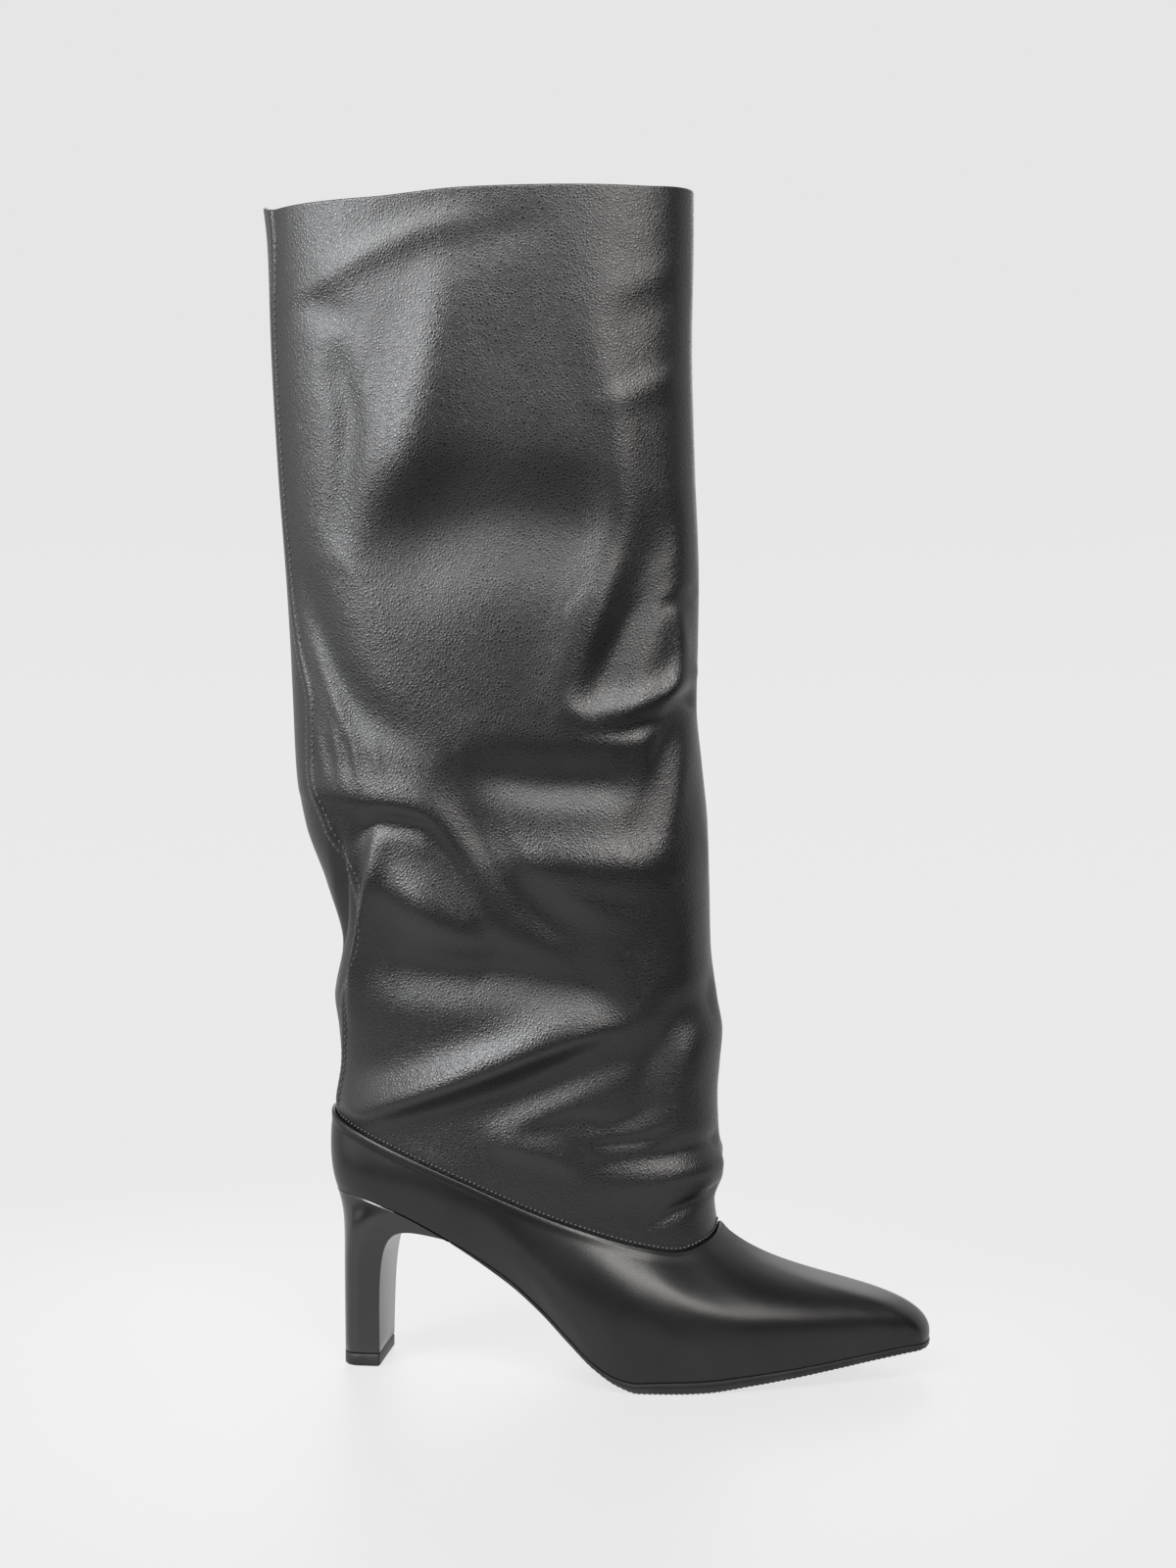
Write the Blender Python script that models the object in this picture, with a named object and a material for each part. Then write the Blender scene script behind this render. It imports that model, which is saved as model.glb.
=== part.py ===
# Slouch boot for the right foot: outsole, covered block heel, top piece, foot upper, slouched shaft, insole.
# Metres, +Z up. The origin is on the floor under the heel, in the face of the top piece.
# +X runs to the toe, -Y is the outer side of the foot, +Y the inner side.

import math

import bpy
import numpy as np

# Driving sizes of the foot
FOOT_LENGTH = 0.2487
BACK_OVERHANG = 0.0179
BALL_WIDTH = 0.0800
HEEL_HEIGHT = 0.0700
COUNTER_HEIGHT = 0.0348
INSTEP_HEIGHT = 0.0590
TOE_SPRING = 0.0114
SOLE_THICKNESS = 0.0048
LIP_WIDTH = 0.0008
INSOLE_THICKNESS = 0.0020

# Driving sizes of the heel
TIP_LENGTH = 0.0131
TIP_WIDTH = 0.0315
TIP_THICKNESS = 0.0049
TIP_ROUNDING = 0.0032
BREAST_CORNER = 0.0010
FLARE_RATIO = 1.30
ARCH_RISE = 0.0600
HEEL_TONGUE = 0.0375

# Driving sizes of the shaft
BOOT_HEIGHT = 0.4840
SHAFT_WIDTH = 0.1800
SHAFT_DEPTH = 0.0640
HEM_HEIGHT = 0.0100
HEM_STEP = 0.0005
SEAM_WIDTH = 0.0030
SEAM_HEIGHT = 0.0006
TUCK_DEPTH = 0.0060

# Walls and the gap that touching pieces keep
UPPER_WALL = 0.0014
SHAFT_WALL = 0.0013
CLEARANCE = 0.0003

# Counts of faces. The first and last END_ROWS rows of the foot's table are cut finer than the rest.
SPAN_STEPS = 12
END_ROWS = 2
UPPER_RINGS = 9
SHAFT_COLUMNS = 24
SHAFT_RINGS = 31
HEEL_RINGS = 9

# The foot's sections from heel to toe. along is a share of FOOT_LENGTH from the back, outer and inner are
# shares of BALL_WIDTH, arch is a share of HEEL_HEIGHT, spring of TOE_SPRING and sole of SOLE_THICKNESS.
FOOT_NAMES = ("along", "outer", "inner", "arch", "spring", "sole")
FOOT_ROWS = (
    (0.016, 0.000, 0.000, 1.008, 0.00, 0.36),
    (0.027, 0.145, 0.145, 1.002, 0.00, 0.36),
    (0.064, 0.245, 0.245, 0.985, 0.00, 0.36),
    (0.125, 0.305, 0.300, 0.925, 0.00, 0.36),
    (0.225, 0.335, 0.310, 0.757, 0.00, 0.36),
    (0.315, 0.348, 0.300, 0.563, 0.00, 0.38),
    (0.370, 0.383, 0.312, 0.412, 0.00, 0.38),
    (0.422, 0.440, 0.350, 0.245, 0.00, 0.40),
    (0.462, 0.485, 0.392, 0.122, 0.00, 0.46),
    (0.502, 0.512, 0.432, 0.036, 0.00, 0.66),
    (0.536, 0.520, 0.460, 0.000, 0.00, 0.92),
    (0.590, 0.512, 0.480, 0.000, 0.00, 1.04),
    (0.640, 0.488, 0.478, 0.000, 0.02, 1.05),
    (0.715, 0.425, 0.445, 0.000, 0.19, 0.93),
    (0.780, 0.358, 0.392, 0.000, 0.36, 0.83),
    (0.845, 0.284, 0.325, 0.000, 0.56, 0.75),
    (0.907, 0.206, 0.250, 0.000, 0.75, 0.69),
    (0.955, 0.148, 0.192, 0.000, 0.89, 0.66),
    (0.987, 0.095, 0.140, 0.000, 0.97, 0.58),
    (1.000, -0.024, 0.024, 0.000, 1.00, 0.50),
)

# The side of the outsole from its top edge down. out is a share of LIP_WIDTH, drop a share of the thickness.
RAND_NAMES = ("out", "drop")
RAND_ROWS = (
    (0.60, 0.00),
    (1.00, 0.07),
    (1.00, 0.27),
    (0.10, 0.34),
    (0.35, 0.84),
    (-0.60, 1.00),
)

# The upper's profiles around the foot, from the feather line up to the topline. around is the share of the way
# from heel to toe. out and up are the lower handle, over and down the upper one, as shares of BALL_WIDTH.
PROFILE_NAMES = ("around", "out", "up", "over", "down")
PROFILE_ROWS = (
    (0.00, 0.040, 0.130, 0.012, 0.130),
    (0.10, 0.055, 0.120, 0.020, 0.120),
    (0.28, 0.070, 0.130, 0.030, 0.130),
    (0.45, 0.060, 0.190, 0.070, 0.190),
    (0.60, 0.050, 0.230, 0.150, 0.240),
    (0.78, 0.035, 0.240, 0.240, 0.280),
    (0.92, 0.052, 0.280, 0.285, 0.300),
    (1.00, 0.065, 0.300, 0.300, 0.300),
)

# The topline from the back to the front of the ankle. rise is the share of the way from INSTEP_HEIGHT to the
# top of the counter.
TOPLINE_NAMES = ("around", "rise")
TOPLINE_ROWS = (
    (0.00, 1.000),
    (0.03, 0.975),
    (0.08, 0.900),
    (0.21, 0.703),
    (0.47, 0.297),
    (0.63, 0.070),
    (0.78, -0.105),
    (0.86, -0.160),
    (0.93, -0.100),
    (1.00, 0.000),
)

# The shaft's sections. height is a share of BOOT_HEIGHT, back and front are shares of SHAFT_WIDTH from the
# heel's axis, outer and inner are shares of half of SHAFT_DEPTH, skew widens the front, seam is the share of
# the half girth by which the back seam strays to the outer side.
SHAFT_NAMES = ("height", "back", "front", "outer", "inner", "skew", "seam")
SHAFT_ROWS = (
    (0.122, 0.080, 0.803, 0.980, 0.960, 0.15, 0.040),
    (0.142, 0.080, 0.797, 0.985, 0.960, 0.15, 0.040),
    (0.166, 0.080, 0.817, 1.000, 0.980, 0.14, 0.040),
    (0.205, 0.080, 0.806, 1.010, 1.000, 0.13, 0.045),
    (0.232, 0.075, 0.804, 1.020, 1.010, 0.12, 0.050),
    (0.258, 0.068, 0.809, 1.040, 1.020, 0.11, 0.055),
    (0.285, 0.073, 0.815, 1.060, 1.040, 0.10, 0.070),
    (0.314, 0.083, 0.803, 1.080, 1.050, 0.09, 0.090),
    (0.360, 0.066, 0.788, 1.100, 1.070, 0.07, 0.130),
    (0.410, 0.101, 0.785, 1.130, 1.080, 0.05, 0.155),
    (0.461, 0.151, 0.781, 1.150, 1.090, 0.04, 0.128),
    (0.512, 0.174, 0.768, 1.160, 1.090, 0.03, 0.110),
    (0.562, 0.181, 0.756, 1.130, 1.070, 0.02, 0.116),
    (0.614, 0.188, 0.759, 1.100, 1.050, 0.01, 0.085),
    (0.665, 0.197, 0.761, 1.070, 1.040, 0.00, 0.066),
    (0.769, 0.219, 0.752, 1.030, 1.020, 0.00, 0.062),
    (0.870, 0.235, 0.746, 1.000, 1.000, 0.00, 0.062),
    (0.960, 0.244, 0.750, 0.980, 0.980, 0.00, 0.074),
    (1.000, 0.256, 0.750, 0.970, 0.980, 0.00, 0.078),
)

# The collar's edge from the back to the front. level is a share of BOOT_HEIGHT.
COLLAR_NAMES = ("around", "level")
COLLAR_ROWS = (
    (0.00, 0.997),
    (0.10, 0.985),
    (0.30, 0.985),
    (0.50, 0.990),
    (0.75, 0.991),
    (0.84, 0.9915),
    (0.92, 0.9945),
    (1.00, 0.9985),
)

# The shaft's main folds. side is -1 outer or 1 inner, around the share of the half girth from the back,
# height a share of BOOT_HEIGHT, tilt in degrees from level, rising to the front. length, width and depth are
# shares of SHAFT_WIDTH, and a negative depth is a trough.
FOLD_NAMES = ("side", "around", "height", "tilt", "length", "width", "depth")
FOLD_ROWS = (
    (-1, 0.54, 0.760, 88, 0.300, 0.085, -0.022),
    (-1, 0.30, 0.760, 80, 0.300, 0.090, 0.018),
    (-1, 0.78, 0.780, 84, 0.240, 0.080, 0.020),
    (-1, 0.50, 0.655, 12, 0.240, 0.060, -0.026),
    (-1, 0.82, 0.590, 40, 0.200, 0.060, -0.024),
    (-1, 0.84, 0.560, 18, 0.150, 0.050, 0.024),
    (-1, 0.80, 0.528, 8, 0.190, 0.040, -0.026),
    (-1, 0.24, 0.480, -20, 0.180, 0.050, 0.024),
    (-1, 0.62, 0.470, 4, 0.240, 0.070, 0.026),
    (-1, 0.60, 0.415, -38, 0.260, 0.050, -0.030),
    (-1, 0.30, 0.395, -24, 0.200, 0.060, 0.034),
    (-1, 0.22, 0.445, 14, 0.140, 0.035, -0.028),
    (-1, 0.34, 0.340, 4, 0.220, 0.045, -0.030),
    (-1, 0.44, 0.290, 20, 0.280, 0.050, 0.032),
    (-1, 0.56, 0.262, 22, 0.260, 0.038, -0.032),
    (-1, 0.84, 0.276, 34, 0.180, 0.040, 0.028),
    (-1, 0.76, 0.228, 10, 0.240, 0.038, -0.030),
    (-1, 0.84, 0.198, 6, 0.200, 0.040, 0.026),
    (1, 0.46, 0.740, 86, 0.300, 0.090, -0.020),
    (1, 0.72, 0.700, 78, 0.260, 0.090, 0.018),
    (1, 0.40, 0.600, 16, 0.260, 0.060, -0.026),
    (1, 0.70, 0.540, -14, 0.260, 0.055, 0.026),
    (1, 0.34, 0.500, 22, 0.220, 0.050, 0.026),
    (1, 0.60, 0.460, 6, 0.260, 0.045, -0.030),
    (1, 0.30, 0.410, -20, 0.220, 0.050, 0.030),
    (1, 0.66, 0.370, 26, 0.240, 0.045, 0.030),
    (1, 0.44, 0.320, 12, 0.260, 0.040, -0.032),
    (1, 0.72, 0.280, -12, 0.240, 0.040, -0.028),
    (1, 0.48, 0.262, 14, 0.280, 0.045, 0.030),
    (1, 0.80, 0.215, 8, 0.200, 0.038, 0.026),
)

# The shaft's section is |x|^n + |y|^n = 1, and each half girth is its width and this share of its depth.
SECTION_EXPONENT = 2.45
DEPTH_IN_GIRTH = 0.6

# How far the topline's places run ahead of the plan's, and how fast the folds fade towards back and front.
PLACE_LEAD = 0.37
FOLD_FADE = 6.4

# Columns beside the back seam and the seam's ridge, counted in seam widths from its middle
SEAM_PLACES = (0.0, 0.5, 0.8, 2.2)
RIDGE_AT = (0.4, 0.9)
RIDGE_RISE = (1.0, 0.0)

# Rows of the hem, as shares of its height
HEM_PLACES = (0.06, 0.5, 1.0)

# Rounds in which the back seam's straying and the heights settle
SETTLE_ROUNDS = 3

# Handles of the heel's profile: how far the upper one goes from the lower one's place to the seat
TURN_LENGTH_SHARE = 0.05
TURN_WIDTH_SHARE = 0.3

# The top piece's plan is |x|^n + |y|^n = 1 at the back
TIP_EXPONENT = 3.2

# The rounding of a folded edge, as a share of its wall
EDGE_ROUNDING = 0.3


def columns(names, rows):
    """The rows of a table as one array for each named column."""
    return dict(zip(names, np.array(rows, float).T))


FOOT = columns(FOOT_NAMES, FOOT_ROWS)
RAND = columns(RAND_NAMES, RAND_ROWS)
PROFILE = columns(PROFILE_NAMES, PROFILE_ROWS)
TOPLINE = columns(TOPLINE_NAMES, TOPLINE_ROWS)
SHAFT = columns(SHAFT_NAMES, SHAFT_ROWS)
COLLAR = columns(COLLAR_NAMES, COLLAR_ROWS)


def smooth(known, values, wanted):
    """A curve through the table's values that never swings past them, so a level stretch stays level."""
    step = np.diff(known)
    slope = np.diff(values) / step
    left, right = slope[:-1], slope[1:]
    same = left * right > 0
    safe_left = np.where(same, left, 1.0)
    safe_right = np.where(same, right, 1.0)
    weight_left = 2 * step[1:] + step[:-1]
    weight_right = step[1:] + 2 * step[:-1]
    inner = (weight_left + weight_right) / (weight_left / safe_left + weight_right / safe_right)
    tangent = np.concatenate([slope[:1], np.where(same, inner, 0.0), slope[-1:]])
    at = np.clip(wanted, known[0], known[-1])
    i = np.clip(np.searchsorted(known, at, side="right") - 1, 0, len(step) - 1)
    t = (at - known[i]) / step[i]
    rise = (3 - 2 * t) * t * t
    bend_left = t * (1 - t) ** 2 * step[i] * tangent[i]
    bend_right = t * t * (t - 1) * step[i] * tangent[i + 1]
    return values[i] * (1 - rise) + values[i + 1] * rise + bend_left + bend_right


def read(table, key, name, at):
    return smooth(table[key], table[name], np.asarray(at, float))


# The plan of the foot

def closed_curve(points):
    """A closed Catmull-Rom curve through the points, with SPAN_STEPS points from each one on."""
    before, after, beyond = np.roll(points, 1, 0), np.roll(points, -1, 0), np.roll(points, -2, 0)
    t = (np.arange(SPAN_STEPS) / SPAN_STEPS)[None, :, None]
    p0, p1, p2, p3 = (p[:, None, :] for p in (before, points, after, beyond))
    curve = 2 * p1 + (p2 - p0) * t + (2 * p0 - 5 * p1 + 4 * p2 - p3) * t**2
    curve = (curve + (3 * p1 - p0 - 3 * p2 + p3) * t**3) / 2
    return curve.reshape(-1, 2)


def plan_of_foot():
    """The feather line seen from above: its outer and its inner side from heel to toe, point for point at one x."""
    x = FOOT["along"] * FOOT_LENGTH - BACK_OVERHANG
    outer = np.stack([x, -FOOT["outer"] * BALL_WIDTH], 1)
    inner = np.stack([x, FOOT["inner"] * BALL_WIDTH], 1)
    curve = closed_curve(np.concatenate([outer, inner[-2:0:-1]]))
    toe = (len(x) - 1) * SPAN_STEPS
    near = curve[: toe + 1]
    far = np.concatenate([curve[toe:], curve[:1]])[::-1]
    far_y = np.interp(near[:, 0], far[:, 0], far[:, 1])
    return {-1: near, 1: np.stack([near[:, 0], far_y], 1)}


def outward_of(side):
    """Unit steps out of the plan along one of its sides."""
    along = np.gradient(PLAN[side], axis=0)
    normal = np.stack([along[:, 1], -along[:, 0]], 1) * -side
    normal /= np.linalg.norm(normal, axis=1)[:, None]
    normal[[0, -1]] = (-1.0, 0.0), (1.0, 0.0)
    return normal


def length_share(path):
    """How far along its own length each point of a path lies, from 0 to 1."""
    length = np.concatenate([[0.0], np.cumsum(np.linalg.norm(np.diff(path, axis=0), axis=1))])
    return length / length[-1]


def stations():
    """Which points of the plan become sections: two to a row of the table, and three where it turns at the ends."""
    last = len(FOOT_ROWS) - 1
    ends = END_ROWS * 3 + 1
    rows = [
        np.linspace(0, END_ROWS, ends),
        np.linspace(END_ROWS, last - END_ROWS, 2 * (last - 2 * END_ROWS) + 1)[1:],
        np.linspace(last - END_ROWS, last, ends)[1:],
    ]
    return np.rint(np.concatenate(rows) * SPAN_STEPS).astype(int)


PLAN = plan_of_foot()
OUTWARD = {side: outward_of(side) for side in PLAN}
STATIONS = stations()
STATION_SHARE = length_share(PLAN[-1])[STATIONS]


def plan_at(side, x, out=0.0):
    """Points of one side of the plan at these x, moved outwards by out."""
    path, step = PLAN[side], OUTWARD[side]
    spots = [np.interp(x, path[:, 0], values) for values in (path[:, 0], path[:, 1], step[:, 0], step[:, 1])]
    return np.stack([spots[0] + out * spots[2], spots[1] + out * spots[3]], 1)


def around_plan(out=0.0):
    """A ring of all stations from heel to toe on the outer side and back on the inner one, moved outwards."""
    outer = PLAN[-1][STATIONS] + out * OUTWARD[-1][STATIONS]
    inner = PLAN[1][STATIONS] + out * OUTWARD[1][STATIONS]
    return np.concatenate([outer, inner[-2:0:-1]])


def sole_bottom(x):
    along = (np.asarray(x) + BACK_OVERHANG) / FOOT_LENGTH
    arch = read(FOOT, "along", "arch", along) * HEEL_HEIGHT
    return arch + read(FOOT, "along", "spring", along) * TOE_SPRING


def sole_depth(x):
    along = (np.asarray(x) + BACK_OVERHANG) / FOOT_LENGTH
    return read(FOOT, "along", "sole", along) * SOLE_THICKNESS


def feather_height(x):
    return sole_bottom(x) + sole_depth(x)


# The shaft's skin

def unit_section():
    """Half of a rounded oblong from back to front, at evenly spaced shares of its girth."""
    angle = np.linspace(0.0, math.pi, 1201)
    power = 2 / SECTION_EXPONENT
    x = -np.sign(np.cos(angle)) * np.abs(np.cos(angle)) ** power
    y = np.abs(np.sin(angle)) ** power
    sized = np.stack([x * SHAFT_WIDTH, y * SHAFT_DEPTH], 1)
    length = np.concatenate([[0.0], np.cumsum(np.linalg.norm(np.diff(sized, axis=0), axis=1))])
    return length / length[-1], x, y


SECTION_SHARE, SECTION_X, SECTION_Y = unit_section()


def folds_at(side, around, height):
    """How far the folds push the leather out: each is a soft ridge or trough with ends that fade."""
    total = np.zeros(np.broadcast(side, around, height).shape)
    half_girth = SHAFT_WIDTH + DEPTH_IN_GIRTH * SHAFT_DEPTH
    for row in FOLD_ROWS:
        fold = dict(zip(FOLD_NAMES, row))
        tilt = math.radians(fold["tilt"])
        over = (around - fold["around"]) * half_girth
        up = (height - fold["height"]) * BOOT_HEIGHT
        along = (over * math.cos(tilt) + up * math.sin(tilt)) / (fold["length"] * SHAFT_WIDTH)
        across = (up * math.cos(tilt) - over * math.sin(tilt)) / (fold["width"] * SHAFT_WIDTH)
        shape = np.exp(-2 * across**2 - 2 * along**2) * fold["depth"] * SHAFT_WIDTH
        total += np.where(side == fold["side"], shape, 0.0)
    return total * np.clip(FOLD_FADE * around * (1.0 - around), 0.0, 1.0)


def topline_height(around):
    counter_top = HEEL_HEIGHT + COUNTER_HEIGHT
    return INSTEP_HEIGHT + read(TOPLINE, "around", "rise", around) * (counter_top - INSTEP_HEIGHT)


def collar_height(around):
    return read(COLLAR, "around", "level", around) * BOOT_HEIGHT


def shaft_skin(side, around, z, out=0.0):
    """The shaft's outer skin at a share of the half girth and a height. Below the topline it hangs straight."""
    height = np.maximum(z, topline_height(around)) / BOOT_HEIGHT
    back = -read(SHAFT, "height", "back", height) * SHAFT_WIDTH
    front = read(SHAFT, "height", "front", height) * SHAFT_WIDTH
    depth = np.where(
        side < 0, read(SHAFT, "height", "outer", height), read(SHAFT, "height", "inner", height)
    )
    depth = depth * SHAFT_DEPTH / 2
    reach = (front - back) / 2
    u = np.interp(around, SECTION_SHARE, SECTION_X)
    v = np.interp(around, SECTION_SHARE, SECTION_Y)
    normal_x = np.sign(u) * np.abs(u) ** (SECTION_EXPONENT - 1) / reach
    normal_y = side * v ** (SECTION_EXPONENT - 1) / depth
    length = np.hypot(normal_x, normal_y)
    above = np.clip((z - topline_height(around)) / TUCK_DEPTH, 0.0, 1.0)
    push = out + folds_at(side, around, height) * above * above * (3 - 2 * above)
    x = (back + front) / 2 + reach * u + push * normal_x / length
    y = side * depth * v * (1 + read(SHAFT, "height", "skew", height) * u) + push * normal_y / length
    return np.stack([x, y, np.broadcast_to(z, x.shape)], -1)


# Mesh helpers

def ladder(count):
    """Faces that close a ring whose points pair up across it, from point 0 to the far end."""
    faces = []
    for i in range((count + 1) // 2):
        near, next_near, next_far, far = i, i + 1, count - i - 1, (count - i) % count
        if next_near > next_far:
            break
        corners = [near, next_near, next_far, far]
        faces.append(tuple(dict.fromkeys(corners)))
    return faces


def volume_inside(points, faces):
    """The signed volume of closed faces: below zero where they face inwards."""
    fans = [(face[0], face[i], face[i + 1]) for face in faces for i in range(1, len(face) - 1)]
    return float(np.linalg.det(points[np.array(fans)]).sum()) / 6


def join_rings(name, rings, material, loop=False):
    """An object from rings of points, each joined to the next. A loop joins its last to its first, else the ends close."""
    rings = np.asarray(rings)
    ring_count, count = rings.shape[:2]
    faces = []
    for i in range(ring_count if loop else ring_count - 1):
        a, b = i * count, ((i + 1) % ring_count) * count
        for j in range(count):
            k = (j + 1) % count
            faces.append((a + j, a + k, b + k, b + j))
    if not loop:
        last = (ring_count - 1) * count
        faces += [face[::-1] for face in ladder(count)]
        faces += [tuple(last + j for j in face) for face in ladder(count)]
    points = rings.reshape(-1, 3)
    if volume_inside(points, faces) < 0:
        faces = [face[::-1] for face in faces]
    mesh = bpy.data.meshes.new(name)
    mesh.from_pydata([tuple(point) for point in points], [], faces)
    mesh.materials.append(material)
    mesh.update()
    mesh.shade_smooth()
    mesh.set_sharp_from_angle(angle=math.radians(40))
    thing = bpy.data.objects.new(name, mesh)
    bpy.context.collection.objects.link(thing)
    return thing


def normals_of(grid):
    """Unit normals of a grid of rings, from the steps up and around it. They are level at both open edges."""
    up = np.gradient(grid, axis=0)
    over = np.roll(grid, -1, 1) - np.roll(grid, 1, 1)
    normal = np.cross(over, up)
    normal[[0, -1], :, 2] = 0.0
    return normal / np.linalg.norm(normal, axis=2)[..., None]


def leather(name, colour, roughness, coat=0.0):
    material = bpy.data.materials.new(name)
    material.use_nodes = True
    shader = material.node_tree.nodes["Principled BSDF"]
    shader.inputs["Base Color"].default_value = (*colour, 1.0)
    shader.inputs["Roughness"].default_value = roughness
    shader.inputs["Metallic"].default_value = 0.0
    shader.inputs["Coat Weight"].default_value = coat
    return material


# The pieces

def make_upper(material):
    """The foot shell: profiles from the feather line to the topline, one wall thick, open above and below."""
    count = len(STATIONS)
    sides = np.concatenate([np.full(count, -1), np.full(count - 2, 1)])
    share = np.concatenate([STATION_SHARE, STATION_SHARE[-2:0:-1]])
    foot = around_plan()
    low = np.column_stack([foot, feather_height(foot[:, 0])])
    outward = np.column_stack([around_plan(1.0) - foot, np.zeros(len(foot))])
    up = np.array([0.0, 0.0, 1.0])

    around = share + PLACE_LEAD * share * (1 - share)
    top_z = topline_height(around)
    top = shaft_skin(sides, around, top_z, CLEARANCE + UPPER_WALL)
    top_out = top - shaft_skin(sides, around, top_z)
    top_out /= CLEARANCE + UPPER_WALL

    handle = {name: read(PROFILE, "around", name, share)[:, None] * BALL_WIDTH for name in PROFILE_NAMES[1:]}
    low_handle = low + outward * handle["out"] + up * handle["up"]
    top_handle = top + top_out * handle["over"] - up * handle["down"]
    t = np.linspace(0.0, 1.0, UPPER_RINGS)[:, None, None]
    outside = low * (1 - t) ** 3 + 3 * low_handle * t * (1 - t) ** 2 + 3 * top_handle * t**2 * (1 - t) + top * t**3
    inside = outside - normals_of(outside) * UPPER_WALL
    rim = (outside[-1:] + inside[-1:]) / 2 + up * EDGE_ROUNDING * UPPER_WALL
    return join_rings("upper", np.concatenate([outside, rim, inside[::-1]]), material, loop=True)


def shaft_columns():
    """Places around the shaft counted from its back seam, with close ones beside the seam."""
    girth = 2 * (SHAFT_WIDTH + DEPTH_IN_GIRTH * SHAFT_DEPTH)
    near = np.array(SEAM_PLACES) * SEAM_WIDTH / girth
    rest = np.linspace(near[-1], 0.5, SHAFT_COLUMNS)[1:]
    half = np.concatenate([near, rest])
    return np.concatenate([half, 1.0 - half[-2:0:-1]]), girth


def make_shaft(material):
    """The slouched tube: its skin from the tuck inside the upper to the collar, with hem, back seam and wall."""
    place, girth = shaft_columns()
    level = np.linspace(0.0, 1.0, SHAFT_RINGS)[:, None]
    z = BOOT_HEIGHT * level
    for _ in range(SETTLE_ROUNDS):
        height = z / BOOT_HEIGHT
        turn = (place + read(SHAFT, "height", "seam", height) / 2) % 1.0
        side = np.where(turn < 0.5, -1, 1)
        around = np.where(turn < 0.5, 2 * turn, 2 - 2 * turn)
        floor = topline_height(around) - TUCK_DEPTH
        hem_foot = collar_height(around) - HEM_HEIGHT
        z = floor + (hem_foot - floor) * level
    beside = np.minimum(place, 1 - place) * girth / SEAM_WIDTH
    ridge = SEAM_HEIGHT * np.interp(beside, RIDGE_AT, RIDGE_RISE)
    shown = np.clip((z - topline_height(around)) / TUCK_DEPTH, 0.0, 1.0)
    body = shaft_skin(side, around, z, ridge * shown)

    side, around = side[-1], around[-1]
    rim_z = collar_height(around)
    hem = [shaft_skin(side, around, rim_z - HEM_HEIGHT * (1 - t), ridge + HEM_STEP) for t in HEM_PLACES]
    outside = np.concatenate([body, hem])
    inside = outside - normals_of(outside) * SHAFT_WALL
    rim = (outside[-1:] + inside[-1:]) / 2 + np.array([0.0, 0.0, EDGE_ROUNDING * SHAFT_WALL])
    return join_rings("shaft", np.concatenate([outside, rim, inside[::-1]]), material, loop=True)


def make_outsole(material):
    """The sole from the tip of the heel's tongue to the toe, with a lip along its top edge."""
    x = PLAN[-1][STATIONS, 0]
    x = np.concatenate([[HEEL_TONGUE + CLEARANCE], x[x > HEEL_TONGUE + SOLE_THICKNESS / 2]])
    fullness = np.clip(sole_depth(x) / SOLE_THICKNESS, 0.0, 1.0)
    top = feather_height(x) - CLEARANCE
    depth = top - sole_bottom(x)
    rings = []
    for out, drop in zip(RAND["out"], RAND["drop"]):
        sides = [plan_at(side, x, out * LIP_WIDTH * fullness) for side in (-1, 1)]
        sides = [np.column_stack([side, top - drop * depth]) for side in sides]
        rings.append(np.concatenate([sides[0][::-1], sides[1][:-1]]))
    return join_rings("outsole", rings, material)


def make_insole(material):
    """The sock inside the foot, as wide as the upper leaves room for."""
    ring = around_plan(-UPPER_WALL - 2 * CLEARANCE)
    low = np.column_stack([ring, feather_height(around_plan()[:, 0])])
    high = low + np.array([0.0, 0.0, INSOLE_THICKNESS])
    return join_rings("insole", [high, low], material)


def tip_half():
    """Half of the top piece's plan: round at the back, straight along the side, nearly square at the breast."""
    angle = np.linspace(0.0, math.pi / 2, 40)
    back = TIP_LENGTH / 2 + TIP_ROUNDING
    x = -back * np.cos(angle) ** (2 / TIP_EXPONENT)
    y = TIP_WIDTH / 2 * np.sin(angle) ** (2 / TIP_EXPONENT)
    turn = np.linspace(math.pi / 2, 0.0, 6)
    corner_x = TIP_LENGTH / 2 - BREAST_CORNER + BREAST_CORNER * np.cos(turn)
    corner_y = TIP_WIDTH / 2 - BREAST_CORNER + BREAST_CORNER * np.sin(turn)
    return np.stack([np.concatenate([x, corner_x]), np.concatenate([y, corner_y])], 1)


def seat_half(side):
    """The heel's top edge on one side: the feather line back from the tip of its tongue, with a cut corner."""
    x = PLAN[side][STATIONS, 0]
    x = np.concatenate([x[x < HEEL_TONGUE - 3 * BREAST_CORNER], [HEEL_TONGUE - BREAST_CORNER]])
    path = plan_at(side, x)
    end = [HEEL_TONGUE, path[-1, 1] - side * BREAST_CORNER]
    return np.concatenate([path, [end]])


def whole_ring(outer, inner):
    """A ring from its back point along the outer half and back along the inner one."""
    return np.concatenate([outer, inner[:0:-1]])


def tip_ring():
    """The top piece's plan, with a point for each point of the heel's seat."""
    seat = length_share(seat_half(-1))
    half = tip_half()
    share = length_share(half)
    half = np.stack([np.interp(seat, share, half[:, k]) for k in (0, 1)], 1)
    return whole_ring(half * (1, -1), half)


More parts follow.
